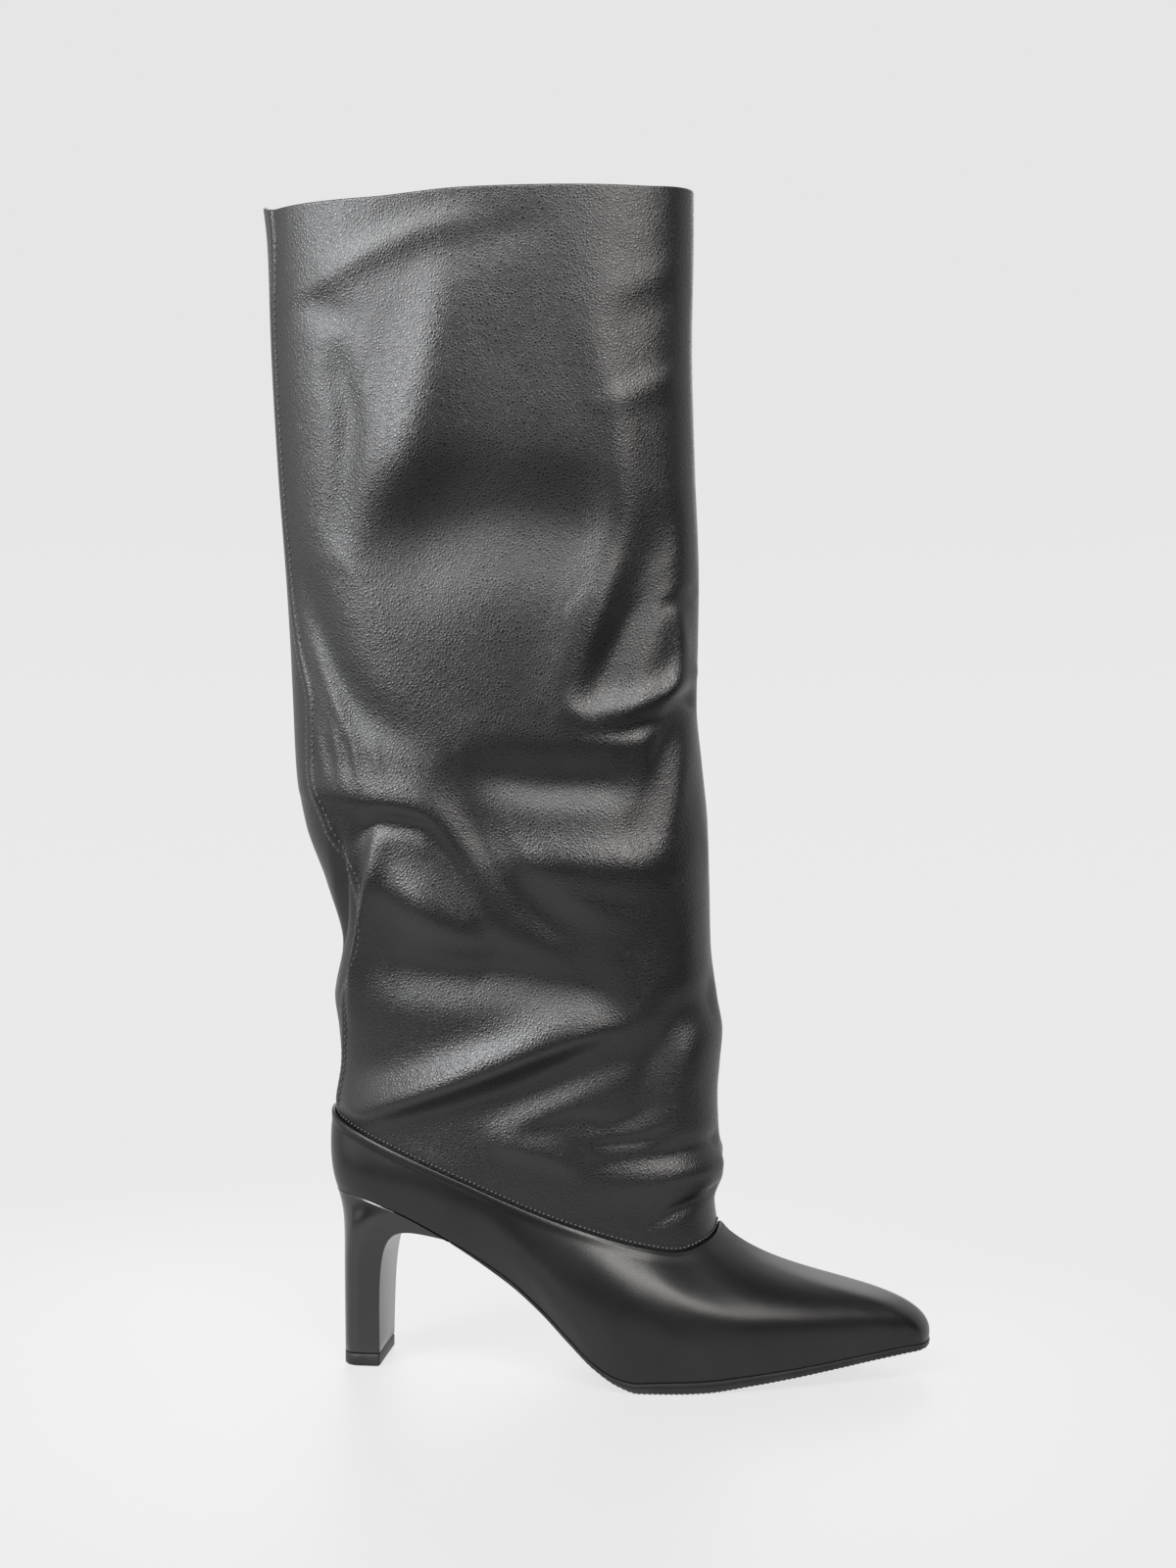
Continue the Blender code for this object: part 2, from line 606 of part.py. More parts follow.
def make_heel(material):
    """The covered heel: each line rises from the top piece and flares into the seat, forward under the waist."""
    foot = tip_ring()
    low_z = TIP_THICKNESS + CLEARANCE
    low = np.column_stack([foot, np.full(len(foot), low_z)])
    seat = whole_ring(seat_half(-1), seat_half(1))
    high = np.column_stack([seat, feather_height(seat[:, 0]) - CLEARANCE])
    rise = np.array([1.0, FLARE_RATIO, 0.0]) * low + np.array([0.0, 0.0, ARCH_RISE])
    turn = rise + (high - rise) * np.array([TURN_LENGTH_SHARE, TURN_WIDTH_SHARE, 0.0])
    t = np.linspace(0.0, 1.0, HEEL_RINGS)[:, None, None]
    rings = low * (1 - t) ** 3 + 3 * rise * t * (1 - t) ** 2 + 3 * turn * t**2 * (1 - t) + high * t**3
    return join_rings("heel", rings, material)


def make_heel_tip(material):
    foot = tip_ring()
    rings = [np.column_stack([foot, np.full(len(foot), z)]) for z in (0.0, TIP_THICKNESS)]
    return join_rings("heel_tip", rings, material)


def main():
    for thing in list(bpy.data.objects):
        bpy.data.objects.remove(thing, do_unlink=True)
    smooth_leather = leather("smooth_black_leather", (0.016, 0.015, 0.015), 0.32, 0.25)
    soft_leather = leather("soft_grained_black_leather", (0.022, 0.021, 0.021), 0.42, 0.1)
    sole_rubber = leather("black_sole_rubber", (0.018, 0.018, 0.018), 0.55)
    lining = leather("dark_lining_leather", (0.060, 0.052, 0.046), 0.6)
    make_upper(smooth_leather)
    make_shaft(soft_leather)
    make_outsole(sole_rubber)
    make_insole(lining)
    make_heel(smooth_leather)
    make_heel_tip(sole_rubber)


main()
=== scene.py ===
# Black leather slouch boot for the right foot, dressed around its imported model.
# Metres: +X to the toe, -Y the outer side, +Z up, the floor at z = 0 under the heel.
import math

import bpy
import mathutils
import numpy as np
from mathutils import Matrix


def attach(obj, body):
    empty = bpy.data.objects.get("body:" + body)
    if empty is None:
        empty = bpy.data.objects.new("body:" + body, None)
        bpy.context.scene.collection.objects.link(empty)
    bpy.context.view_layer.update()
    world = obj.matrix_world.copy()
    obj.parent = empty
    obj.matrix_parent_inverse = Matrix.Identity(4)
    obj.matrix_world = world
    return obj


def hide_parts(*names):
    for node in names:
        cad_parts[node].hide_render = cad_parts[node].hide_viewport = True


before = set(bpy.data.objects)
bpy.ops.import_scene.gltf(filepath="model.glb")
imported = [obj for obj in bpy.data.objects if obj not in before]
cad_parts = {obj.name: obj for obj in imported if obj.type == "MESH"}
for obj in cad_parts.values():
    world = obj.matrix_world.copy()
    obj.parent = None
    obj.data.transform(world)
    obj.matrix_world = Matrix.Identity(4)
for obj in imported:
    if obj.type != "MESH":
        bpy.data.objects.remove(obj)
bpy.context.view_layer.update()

print("frame loaded:", sorted(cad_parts))


# sums over tables

# a table as one array for each named column
def columns(names, rows):
    return dict(zip(names, np.array(rows, float).T))


# cubic pieces through the known values; the slope at each is the weighted harmonic mean of its two
# neighbours, or none where they disagree, so the curve never swings past its values
def smooth(known, values, wanted):
    step = np.diff(known)
    slope = np.diff(values) / step
    left, right = slope[:-1], slope[1:]
    same = left * right > 0
    weightLeft, weightRight = 2 * step[1:] + step[:-1], step[1:] + 2 * step[:-1]
    mean = (weightLeft + weightRight) / (
        weightLeft / np.where(same, left, 1.0) + weightRight / np.where(same, right, 1.0)
    )
    tangent = np.concatenate([slope[:1], np.where(same, mean, 0.0), slope[-1:]])
    at = np.clip(wanted, known[0], known[-1])
    i = np.clip(np.searchsorted(known, at, side="right") - 1, 0, len(step) - 1)
    t = (at - known[i]) / step[i]
    rise = (3 - 2 * t) * t * t
    bend = t * (1 - t) ** 2 * tangent[i] + t * t * (t - 1) * tangent[i + 1]
    return values[i] * (1 - rise) + values[i + 1] * rise + bend * step[i]


def readTable(table, key, name, at):
    return smooth(table[key], table[name], np.asarray(at, float))


# 0 below low, 1 above high, 3t^2 - 2t^3 between
def ease(low, high, at):
    t = np.clip((at - low) / (high - low), 0.0, 1.0)
    return t * t * (3 - 2 * t)


# how far along its own length each point of a path lies, from 0 to 1
def lengthShare(path):
    length = np.concatenate([[0.0], np.cumsum(np.linalg.norm(np.diff(path, axis=0), axis=1))])
    return length / length[-1]


# the foot's plan and levels

foot = {
    "length": 0.2487, "backOverhang": 0.0179, "ballWidth": 0.0800, "heelHeight": 0.0700,
    "counterHeight": 0.0348, "instepHeight": 0.0590, "toeSpring": 0.0114, "soleThickness": 0.0048,
    "spanSteps": 12,
    # shares of length, of ballWidth twice, of heelHeight, of toeSpring and of soleThickness
    "table": columns(("along", "outer", "inner", "arch", "spring", "sole"), (
        (0.016, 0.000, 0.000, 1.008, 0.00, 0.36), (0.027, 0.145, 0.145, 1.002, 0.00, 0.36),
        (0.064, 0.245, 0.245, 0.985, 0.00, 0.36), (0.125, 0.305, 0.300, 0.925, 0.00, 0.36),
        (0.225, 0.335, 0.310, 0.757, 0.00, 0.36), (0.315, 0.348, 0.300, 0.563, 0.00, 0.38),
        (0.370, 0.383, 0.312, 0.412, 0.00, 0.38), (0.422, 0.440, 0.350, 0.245, 0.00, 0.40),
        (0.462, 0.485, 0.392, 0.122, 0.00, 0.46), (0.502, 0.512, 0.432, 0.036, 0.00, 0.66),
        (0.536, 0.520, 0.460, 0.000, 0.00, 0.92), (0.590, 0.512, 0.480, 0.000, 0.00, 1.04),
        (0.640, 0.488, 0.478, 0.000, 0.02, 1.05), (0.715, 0.425, 0.445, 0.000, 0.19, 0.93),
        (0.780, 0.358, 0.392, 0.000, 0.36, 0.83), (0.845, 0.284, 0.325, 0.000, 0.56, 0.75),
        (0.907, 0.206, 0.250, 0.000, 0.75, 0.69), (0.955, 0.148, 0.192, 0.000, 0.89, 0.66),
        (0.987, 0.095, 0.140, 0.000, 0.97, 0.58), (1.000, -0.024, 0.024, 0.000, 1.00, 0.50),
    )),
}


# a closed Catmull-Rom curve, spanSteps points from each given one on
def closedCurve(points):
    p0, p1, p2, p3 = (np.roll(points, k, 0)[:, None, :] for k in (1, 0, -1, -2))
    t = (np.arange(foot["spanSteps"]) / foot["spanSteps"])[None, :, None]
    curve = 2 * p1 + (p2 - p0) * t + (2 * p0 - 5 * p1 + 4 * p2 - p3) * t**2
    return ((curve + (3 * p1 - p0 - 3 * p2 + p3) * t**3) / 2).reshape(-1, 2)


# the feather line from above, its two sides from heel to toe, point for point at one x
def planOfFoot():
    table = foot["table"]
    x = table["along"] * foot["length"] - foot["backOverhang"]
    outer = np.stack([x, -table["outer"] * foot["ballWidth"]], 1)
    inner = np.stack([x, table["inner"] * foot["ballWidth"]], 1)
    curve = closedCurve(np.concatenate([outer, inner[-2:0:-1]]))
    toe = (len(x) - 1) * foot["spanSteps"]
    near = curve[: toe + 1]
    far = np.concatenate([curve[toe:], curve[:1]])[::-1]
    return {-1: near, 1: np.stack([near[:, 0], np.interp(near[:, 0], far[:, 0], far[:, 1])], 1)}


# unit steps out of the plan along one of its sides
def outwardOf(side):
    along = np.gradient(plan[side], axis=0)
    normal = np.stack([along[:, 1], -along[:, 0]], 1) * -side
    normal /= np.linalg.norm(normal, axis=1)[:, None]
    normal[[0, -1]] = (-1.0, 0.0), (1.0, 0.0)
    return normal


plan = planOfFoot()
outward = {side: outwardOf(side) for side in plan}


# points of one side of the plan at these x, moved outwards by out
def planAt(side, x, out=0.0):
    path, step = plan[side], outward[side]
    px, py, sx, sy = (np.interp(x, path[:, 0], v) for v in (path[:, 0], path[:, 1], step[:, 0], step[:, 1]))
    return np.stack([px + out * sx, py + out * sy], 1)


# the whole plan moved outwards by out: the outer side to the toe, then the inner side back
def aroundPlan(out=0.0):
    outer = plan[-1] + out * outward[-1]
    inner = plan[1] + out * outward[1]
    return np.concatenate([outer, inner[-2:0:-1]])


# x as a share of the foot's length from the back of the counter
def alongFoot(x):
    return (np.asarray(x) + foot["backOverhang"]) / foot["length"]


# the sole's lower face: the arch's share of heelHeight plus the spring's share of toeSpring
def soleBottom(x):
    arch = readTable(foot["table"], "along", "arch", alongFoot(x)) * foot["heelHeight"]
    return arch + readTable(foot["table"], "along", "spring", alongFoot(x)) * foot["toeSpring"]


# the sole's share of its full thickness
def soleDepth(x):
    return readTable(foot["table"], "along", "sole", alongFoot(x)) * foot["soleThickness"]


# where sole and foot shell meet
def featherHeight(x):
    return soleBottom(x) + soleDepth(x)


# the shaft's skin

shaft = {
    "height": 0.4840, "width": 0.1800, "depth": 0.0640, "roundness": 2.45,
    "hemHeight": 0.0100, "seamWidth": 0.0030, "seamHeight": 0.0007, "tuck": 0.0060,
    "leather": 0.0008, "columns": 292, "rows": 204, "hemRows": (0.14, 0.3, 0.46, 0.62, 0.78, 0.9, 0.97),
    # share of depth in half the girth, the share beside the seam that folds leave free, their reach in widths,
    # the tucks above the topline over which they begin, how much the collar calms them and over how many hem
    # heights, how far the rows crowd downwards, the hem's extra wall
    "girthShare": 0.6, "seamFree": 0.045, "foldReach": 2.2, "foldStart": 1.6, "collarCalm": 0.5,
    "collarCalmFrom": -1.6, "collarCalmTo": -0.2, "crowding": 0.12, "hemExtra": 0.0004, "rimSteps": 7,
    # shares of height, of width twice, of half of depth twice, the front's widening, the seam's straying
    "table": columns(("height", "back", "front", "outer", "inner", "skew", "seam"), (
        (0.122, 0.080, 0.803, 0.980, 0.960, 0.15, 0.040), (0.142, 0.080, 0.797, 0.985, 0.960, 0.15, 0.040),
        (0.166, 0.080, 0.817, 1.000, 0.980, 0.14, 0.040), (0.205, 0.080, 0.806, 1.010, 1.000, 0.13, 0.045),
        (0.232, 0.075, 0.804, 1.020, 1.010, 0.12, 0.050), (0.258, 0.068, 0.809, 1.040, 1.020, 0.11, 0.055),
        (0.285, 0.073, 0.815, 1.060, 1.040, 0.10, 0.070), (0.314, 0.083, 0.803, 1.080, 1.050, 0.09, 0.090),
        (0.360, 0.066, 0.788, 1.100, 1.070, 0.07, 0.130), (0.410, 0.101, 0.785, 1.130, 1.080, 0.05, 0.155),
        (0.461, 0.151, 0.781, 1.150, 1.090, 0.04, 0.128), (0.512, 0.174, 0.768, 1.160, 1.090, 0.03, 0.110),
        (0.562, 0.181, 0.756, 1.130, 1.070, 0.02, 0.116), (0.614, 0.188, 0.759, 1.100, 1.050, 0.01, 0.085),
        (0.665, 0.197, 0.761, 1.070, 1.040, 0.00, 0.066), (0.769, 0.219, 0.752, 1.030, 1.020, 0.00, 0.062),
        (0.870, 0.235, 0.746, 1.000, 1.000, 0.00, 0.062), (0.960, 0.244, 0.750, 0.980, 0.980, 0.00, 0.074),
        (1.000, 0.256, 0.750, 0.970, 0.980, 0.00, 0.078),
    )),
    # from the back to the front, as a share of the way from instepHeight to the counter's top
    "topline": columns(("around", "rise"), (
        (0.00, 1.000), (0.03, 0.975), (0.08, 0.900), (0.21, 0.703), (0.47, 0.297),
        (0.63, 0.070), (0.78, -0.105), (0.86, -0.160), (0.93, -0.100), (1.00, 0.000),
    )),
    # from the back to the front, as a share of height
    "collar": columns(("around", "level"), (
        (0.00, 0.997), (0.10, 0.985), (0.30, 0.985), (0.50, 0.990),
        (0.75, 0.991), (0.84, 0.9915), (0.92, 0.9945), (1.00, 0.9985),
    )),
}

# Creases of each side as it is seen from outside, in millimetres: the width above the line and below it, then
# the points of the line with the height at each, which is below zero for a trough. For a line that runs
# downwards, above is its toe side.
creases = {
    -1: (
        (9, 9, ((-38, 438, 0.3), (-18, 445, 0.9), (-5, 450, 1.1), (10, 456, 1.1), (32, 464, 0.8),
                 (54, 469, 0))),
        (11, 14, ((14, 446, 0), (36, 452, -0.5), (60, 460, -0.8), (84, 466, 0))),
        (10, 11, ((-28, 438, 0), (-12, 432, -1.0), (6, 425, 0))),
        (10, 10, ((-10, 422, 0), (-7, 405, -1.3), (-3, 386, -1.5), (-6, 358, -1.0), (-12, 330, 0))),
        (28, 26, ((44, 476, 0), (37, 430, 2.8), (31, 400, 3.6), (22, 372, 3.4), (10, 345, 1.6),
                 (0, 320, 0))),
        (30, 36, ((0, 322, 0), (12, 333, -3.2), (28, 341, -5.0), (58, 346, -5.0), (86, 344, -5.0),
                  (104, 334, -3.0), (116, 318, 0))),
        (14, 16, ((104, 456, 0), (97, 424, 0.9), (103, 396, 1.2), (108, 370, 1.4), (108, 350, 1.8),
                  (101, 318, 2.4), (90, 285, 2.0), (80, 262, 0))),
        (14, 16, ((126, 356, 0), (120, 326, -2.8), (112, 307, -4.0), (101, 284, -3.4), (92, 266, 0))),
        (6, 9, ((94, 388, 0), (108, 395, 0.8), (121, 401, 1.0), (134, 408, 0.3))),
        (8, 9, ((98, 433, 0), (112, 440, 0.4), (124, 446, 0.5), (135, 450, 0.2))),
        (10, 9, ((100, 424, 0), (118, 430, -0.5), (132, 438, -0.3))),
        (3, 3, ((121, 309, 0), (130, 314, -1.5), (138, 319, -1.5))),
        (7, 6, ((128, 318, 0), (131, 296, 1.5), (128, 280, 1.6), (120, 264, 0))),
        (17, 9, ((136, 285, 1.8), (124, 275, 3.2), (108, 268, 3.0), (94, 266, 1.7), (78, 268, 0))),
        (4, 9, ((138, 275, -2.8), (130, 271, -2.8), (120, 264, -2.6), (106, 260, -1.8), (95, 260, -0.8),
                 (82, 263, 0))),
        (10, 8, ((134, 274, -1.6), (127, 262, -2.0), (121, 242, -1.8), (115, 226, -0.8), (109, 210, 0))),
        (8, 7, ((135, 268, 0), (132, 246, 0.7), (128, 228, 0.9), (120, 208, 0))),
        (15, 12, ((-27, 332, -0.4), (-20, 312, -1.8), (-8, 282, -2.2), (6, 266, -1.8), (24, 257, -1.0),
                 (44, 252, 0))),
        (5, 5, ((-22, 304, 0), (-15, 286, 0.8), (-8, 270, 0.9), (-1, 255, 0))),
        (15, 13, ((44, 246, -0.8), (62, 242, -3.8), (82, 240, -4.4), (102, 240, -3.8), (118, 248, 0))),
        (17, 20, ((46, 205, 0), (64, 206, 3.2), (84, 206, 4.8), (108, 206, 4.4), (128, 210, 2.6),
                 (138, 214, 1.5))),
        (16, 15, ((42, 252, 0), (47, 234, -2.0), (54, 218, -3.0), (69, 199, -3.0), (85, 181, -2.6),
                  (98, 163, -1.8), (113, 147, 0))),
        (6, 9, ((74, 199, 0), (92, 191, 0.8), (108, 186, 0.9), (124, 184, 0))),
        (3.4, 2.8, ((-19, 268, 0), (-16, 253, 0.7), (-12, 238, 0))),
        (2.8, 2.6, ((-11, 266, 0), (-8, 252, 0.8), (-5, 237, 0))),
        (3.0, 2.8, ((-3, 264, 0), (0, 250, 0.7), (4, 236, 0))),
        (3.2, 3.0, ((6, 262, 0), (9, 249, 0.4), (13, 235, 0))),
        (15, 9, ((-22, 236, 1.0), (-12, 236, 2.0), (5, 233, 2.7), (23, 230, 3.0), (38, 220, 2.6),
                 (48, 201, 1.8),
                 (58, 184, 1.4), (68, 168, 0))),
        (5, 8, ((-4, 212, 0), (3.5, 221, -1.5), (12, 225, -2.1), (28, 223, -1.9), (38, 213, -1.2),
                (46, 198, -0.8), (50, 186, 0))),
        (21, 18, ((4, 207, 0.5), (17, 196, 4.0), (30, 188, 5.6), (43, 180, 4.2), (56, 170, 0))),
        (13, 18, ((4, 161, 0), (23, 165, -3.4), (48, 165, -5.0), (74, 162, -4.4), (98, 155, -2.6),
                 (114, 146, 0))),
        (16, 7, ((-10, 101, 1.5), (8, 107, 4.6), (38, 118, 6.4), (68, 130, 5.8), (90, 139, 3.4),
                 (110, 147, 0))),
        (6, 24, ((8, 101, 0), (40, 108, -2.0), (66, 118, -2.6), (92, 130, -2.2), (112, 138, -1.2),
                 (124, 143, 0))),
        (16, 13, ((150, 156, -2.0), (142, 151, -2.8), (129, 143.5, -3.4), (120, 126, -3.2),
                 (112, 108, -2.4),
                  (104, 101, -1.2), (94, 97, 0))),
        (12, 10, ((139, 144, 0), (132, 124, 0.5), (128, 108, 0.6), (118, 95, 0))),
        (8, 12, ((50, 107, 0), (70, 114, -1.0), (94, 124, -1.2), (118, 134, -1.2), (131, 142, -0.6))),
        (9, 9, ((48, 98, 0), (66, 104, 0.8), (86, 112, 0.9), (106, 120, 0.5), (118, 126, 0))),
        (4, 8, ((64, 97, 0), (79, 103, -0.7), (90, 106, -1.0), (104, 104.5, -1.0), (121, 111, -0.4))),
        (2.4, 5, ((94, 95.5, 0), (105, 96.4, -1.3), (117, 97.7, -1.7), (129, 103, 0))),
        (6, 6, ((86, 87, 0), (104, 89, -1.0), (120, 91, -1.6), (146, 94.5, -2.2))),
        (7, 7, ((98, 78, 0), (122, 81, 1.1), (148, 86, 2.0))),
        (4, 4, ((115, 62, 0), (130, 69, -1.4), (148, 76, -2.0))),
        (10, 6, ((50, 96, 0), (70, 93, 1.8), (96, 84, 0))),
        (9, 4, ((10, 224, 0), (7, 212, 2.0), (5, 198, 3.8), (2, 180, 4.6), (-2, 164, 3.8),
                 (-5, 150, 1.6), (-6, 137, 0))),
        (4, 5, ((-8, 224, 0), (-8, 204, -3.0), (-9, 186, -3.8), (-12, 168, -2.4), (-14, 153, 0))),
    ),
    1: (
        (22, 18, ((20, 474, 0), (26, 420, -3.4), (20, 366, 0))),
        (22, 20, ((64, 478, 0), (62, 430, 2.8), (70, 380, 0))),
        (14, 14, ((104, 474, 0), (98, 430, -2.4), (92, 386, 0))),
        (12, 24, ((-24, 362, 0), (10, 348, -4.0), (48, 340, -4.6), (88, 352, 0))),
        (12, 8, ((66, 324, 0), (96, 312, 3.8), (128, 318, 2.0))),
        (4, 10, ((34, 302, 0), (70, 292, -3.6), (104, 284, -4.4), (134, 291, -2.0))),
        (10, 12, ((-28, 302, 1.0), (0, 286, 3.6), (36, 280, 0))),
        (4, 9, ((-22, 264, -1.0), (10, 256, -4.0), (44, 262, -3.6), (76, 277, 0))),
        (12, 14, ((54, 252, 0), (90, 240, 4.2), (128, 247, 2.0))),
        (6, 6, ((-14, 240, -1.0), (18, 226, -4.0), (40, 206, -3.8), (60, 178, 0))),
        (12, 12, ((2, 202, 0), (30, 196, 4.2), (56, 174, 0))),
        (4, 9, ((62, 216, 0), (98, 204, -4.2), (134, 209, -2.0))),
        (10, 6, ((34, 165, 0), (74, 172, -4.4), (116, 165, 0))),
        (14, 10, ((-6, 151, 0), (40, 146, 4.2), (96, 151, 0))),
        (4, 9, ((8, 127, 0), (52, 122, -4.4), (96, 130, -4.0), (138, 145, -2.0))),
        (7, 5, ((54, 106, 0), (96, 112, 3.6), (136, 128, 0))),
        (3, 5, ((64, 93, 0), (104, 98, -3.4), (142, 107, -1.6))),
        (5, 4, ((96, 84, 0), (122, 82, 2.6), (146, 89, 1.2))),
        (4, 5, ((3, 178, 0), (-4, 160, 2.8), (-9, 144, 0))),
        (3, 3, ((110, 70, 0), (126, 72, -2.0), (142, 70, 0))),
    ),
}


# half of a rounded oblong |x|^n + |y|^n = 1 from back to front, with the share of its girth at each point
def unitSection():
    angle = np.linspace(0.0, math.pi, 1201)
    power = 2 / shaft["roundness"]
    x = -np.sign(np.cos(angle)) * np.abs(np.cos(angle)) ** power
    y = np.abs(np.sin(angle)) ** power
    return lengthShare(np.stack([x * shaft["width"], y * shaft["depth"]], 1)), x, y


sectionShare, sectionX, sectionY = unitSection()
halfGirth = shaft["width"] + shaft["girthShare"] * shaft["depth"]


# the foot shell's top edge, between instepHeight in front and the counter's top behind
def toplineHeight(around):
    top = foot["heelHeight"] + foot["counterHeight"]
    rise = readTable(shaft["topline"], "around", "rise", around)
    return foot["instepHeight"] + rise * (top - foot["instepHeight"])


# the shaft's top edge
def collarHeight(around):
    return readTable(shaft["collar"], "around", "level", around) * shaft["height"]


# the shaft's back and front line at a share of its height
def backAndFront(height):
    back = -readTable(shaft["table"], "height", "back", height) * shaft["width"]
    return back, readTable(shaft["table"], "height", "front", height) * shaft["width"]


# a line drawn in the side view, laid out flat on the shaft: metres from the back seam along the girth, metres
# up, and the height there
def laidOut(points):
    points = np.array(points, float) / 1000
    fine = np.linspace(0, len(points) - 1, 8 * len(points) - 7)
    x, z, rise = (smooth(np.arange(len(points)), points[:, k], fine) for k in range(3))
    back, front = backAndFront(z / shaft["height"])
    u = (2 * x - back - front) / (front - back)
    around = np.interp(np.clip(u, -1, 1), sectionX, sectionShare)
    return np.stack([around * halfGirth, z], 1), rise


# how far the creases push the leather out: each is exp(-2 (distance / width)^2) times its height there, with
# its own width above and below its line
def creasesAt(side, around, z):
    total = np.zeros(around.shape)
    for which, rows in creases.items():
        for above, below, points in rows:
            line, rise = laidOut(points)
            reach = shaft["foldReach"] * max(above, below) / 1000
            low, high = line.min(0) - reach, line.max(0) + reach
            over = around * halfGirth
            near = (side == which) & (over > low[0]) & (over < high[0]) & (z > low[1]) & (z < high[1])
            if not near.any():
                continue
            spot = np.stack([over[near], z[near]], 1)
            start, step = line[:-1], np.diff(line, axis=0)
            size = np.linalg.norm(step, axis=1)
            t = np.clip(np.einsum("nki,ki->nk", spot[:, None] - start, step) / size**2, 0, 1)
            gap = spot[:, None] - start - t[..., None] * step
            distance = np.linalg.norm(gap, axis=2)
            best = distance.argmin(1)
            pick = np.arange(len(spot))
            offset = gap[pick, best]
            turn = step[best, 0] * offset[:, 1] - step[best, 1] * offset[:, 0]
            width = np.where(turn > 0, above, below) / 1000
            height = rise[best] + np.diff(rise)[best] * t[pick, best]
            total[near] += np.exp(-2 * (distance[pick, best] / width) ** 2) * height
    free = shaft["seamFree"]
    return total * ease(0.0, free, around) * ease(0.0, free, 1 - around)


# the shaft's outer skin at a share of the half girth and a height: a rounded oblong whose back, front and
# depths come from the table, pushed out along its own normal by the creases and by out
def shaftSkin(side, around, z, out=0.0, fold=None):
    side, around, z = np.broadcast_arrays(side, around, z)
    height = np.maximum(z, toplineHeight(around)) / shaft["height"]
    back, front = backAndFront(height)
    table = shaft["table"]
    outer, inner = (readTable(table, "height", name, height) for name in ("outer", "inner"))
    depth = np.where(side < 0, outer, inner) * shaft["depth"] / 2
    reach = (front - back) / 2
    u = np.interp(around, sectionShare, sectionX)
    v = np.interp(around, sectionShare, sectionY)
    normalX = np.sign(u) * np.abs(u) ** (shaft["roundness"] - 1) / reach
    normalY = side * v ** (shaft["roundness"] - 1) / depth
    length = np.hypot(normalX, normalY)
    if fold is None:
        begun = ease(0.0, shaft["foldStart"] * shaft["tuck"], z - toplineHeight(around))
        below = (z - collarHeight(around)) / shaft["hemHeight"]
        calmed = 1 - shaft["collarCalm"] * ease(shaft["collarCalmFrom"], shaft["collarCalmTo"], below)
        fold = creasesAt(side, around, z) * begun * calmed
    push = out + fold
    skewed = 1 + readTable(table, "height", "skew", height) * u
    x = (back + front) / 2 + reach * u + push * normalX / length
    y = side * depth * v * skewed + push * normalY / length
    return np.stack([x, y, z], -1), fold


# meshes

# faces across a ring whose points pair up from point 0 to the far end
def ladder(count):
    faces = []
    for i in range((count + 1) // 2):
        corners = [i, i + 1, count - i - 1, (count - i) % count]
        if corners[1] > corners[2]:
            break
        faces.append(tuple(dict.fromkeys(corners)))
    return faces


# an object from a grid of rings, each ring closed and joined to the next; a loop joins its last ring to its
# first, else both ends close
def ringObject(name, rings, look, loop=False, sharp=40, marks=None):
    rings = np.asarray(rings)
    ringCount, count = rings.shape[:2]
    i, j = np.meshgrid(np.arange(ringCount if loop else ringCount - 1), np.arange(count), indexing="ij")
    a, b, k = i * count, (i + 1) % ringCount * count, (j + 1) % count
    quads = np.stack([a + j, a + k, b + k, b + j], -1).reshape(-1, 4)
    points = rings.reshape(-1, 3)
    fans = np.concatenate([quads[:, [0, 1, 2]], quads[:, [0, 2, 3]]])
    inside = np.linalg.det(points[fans] - points.mean(0)).sum() < 0
    faces = quads.tolist()
    if not loop:
        last = (ringCount - 1) * count
        faces += [face[::-1] for face in ladder(count)]
        faces += [tuple(last + n for n in face) for face in ladder(count)]
    if inside:
        faces = [face[::-1] for face in faces]
    mesh = bpy.data.meshes.new(name)
    mesh.from_pydata(points.tolist(), [], faces)
    return finishMesh(name, mesh, look, sharp, marks)


# marks as point attributes, smooth shading with edges above sharp degrees, and the object at the origin
def finishMesh(name, mesh, look, sharp, marks=None):
    for mark, values in (marks or {}).items():
        made = mesh.attributes.new(mark, "FLOAT", "POINT")
        made.data.foreach_set("value", np.ravel(values).astype(np.float32))
    mesh.materials.append(look)
    mesh.update()
    mesh.shade_smooth()
    if sharp:
        mesh.set_sharp_from_angle(angle=math.radians(sharp))
    thing = bpy.data.objects.new(name, mesh)
    bpy.context.collection.objects.link(thing)
    print(name, "faces:", len(mesh.polygons))
    return thing


# unit normals of a grid of rings from the steps up and around it
def normalsOf(grid):
    normal = np.cross(np.roll(grid, -1, 1) - np.roll(grid, 1, 1), np.gradient(grid, axis=0))
    return normal / np.linalg.norm(normal, axis=2)[..., None]


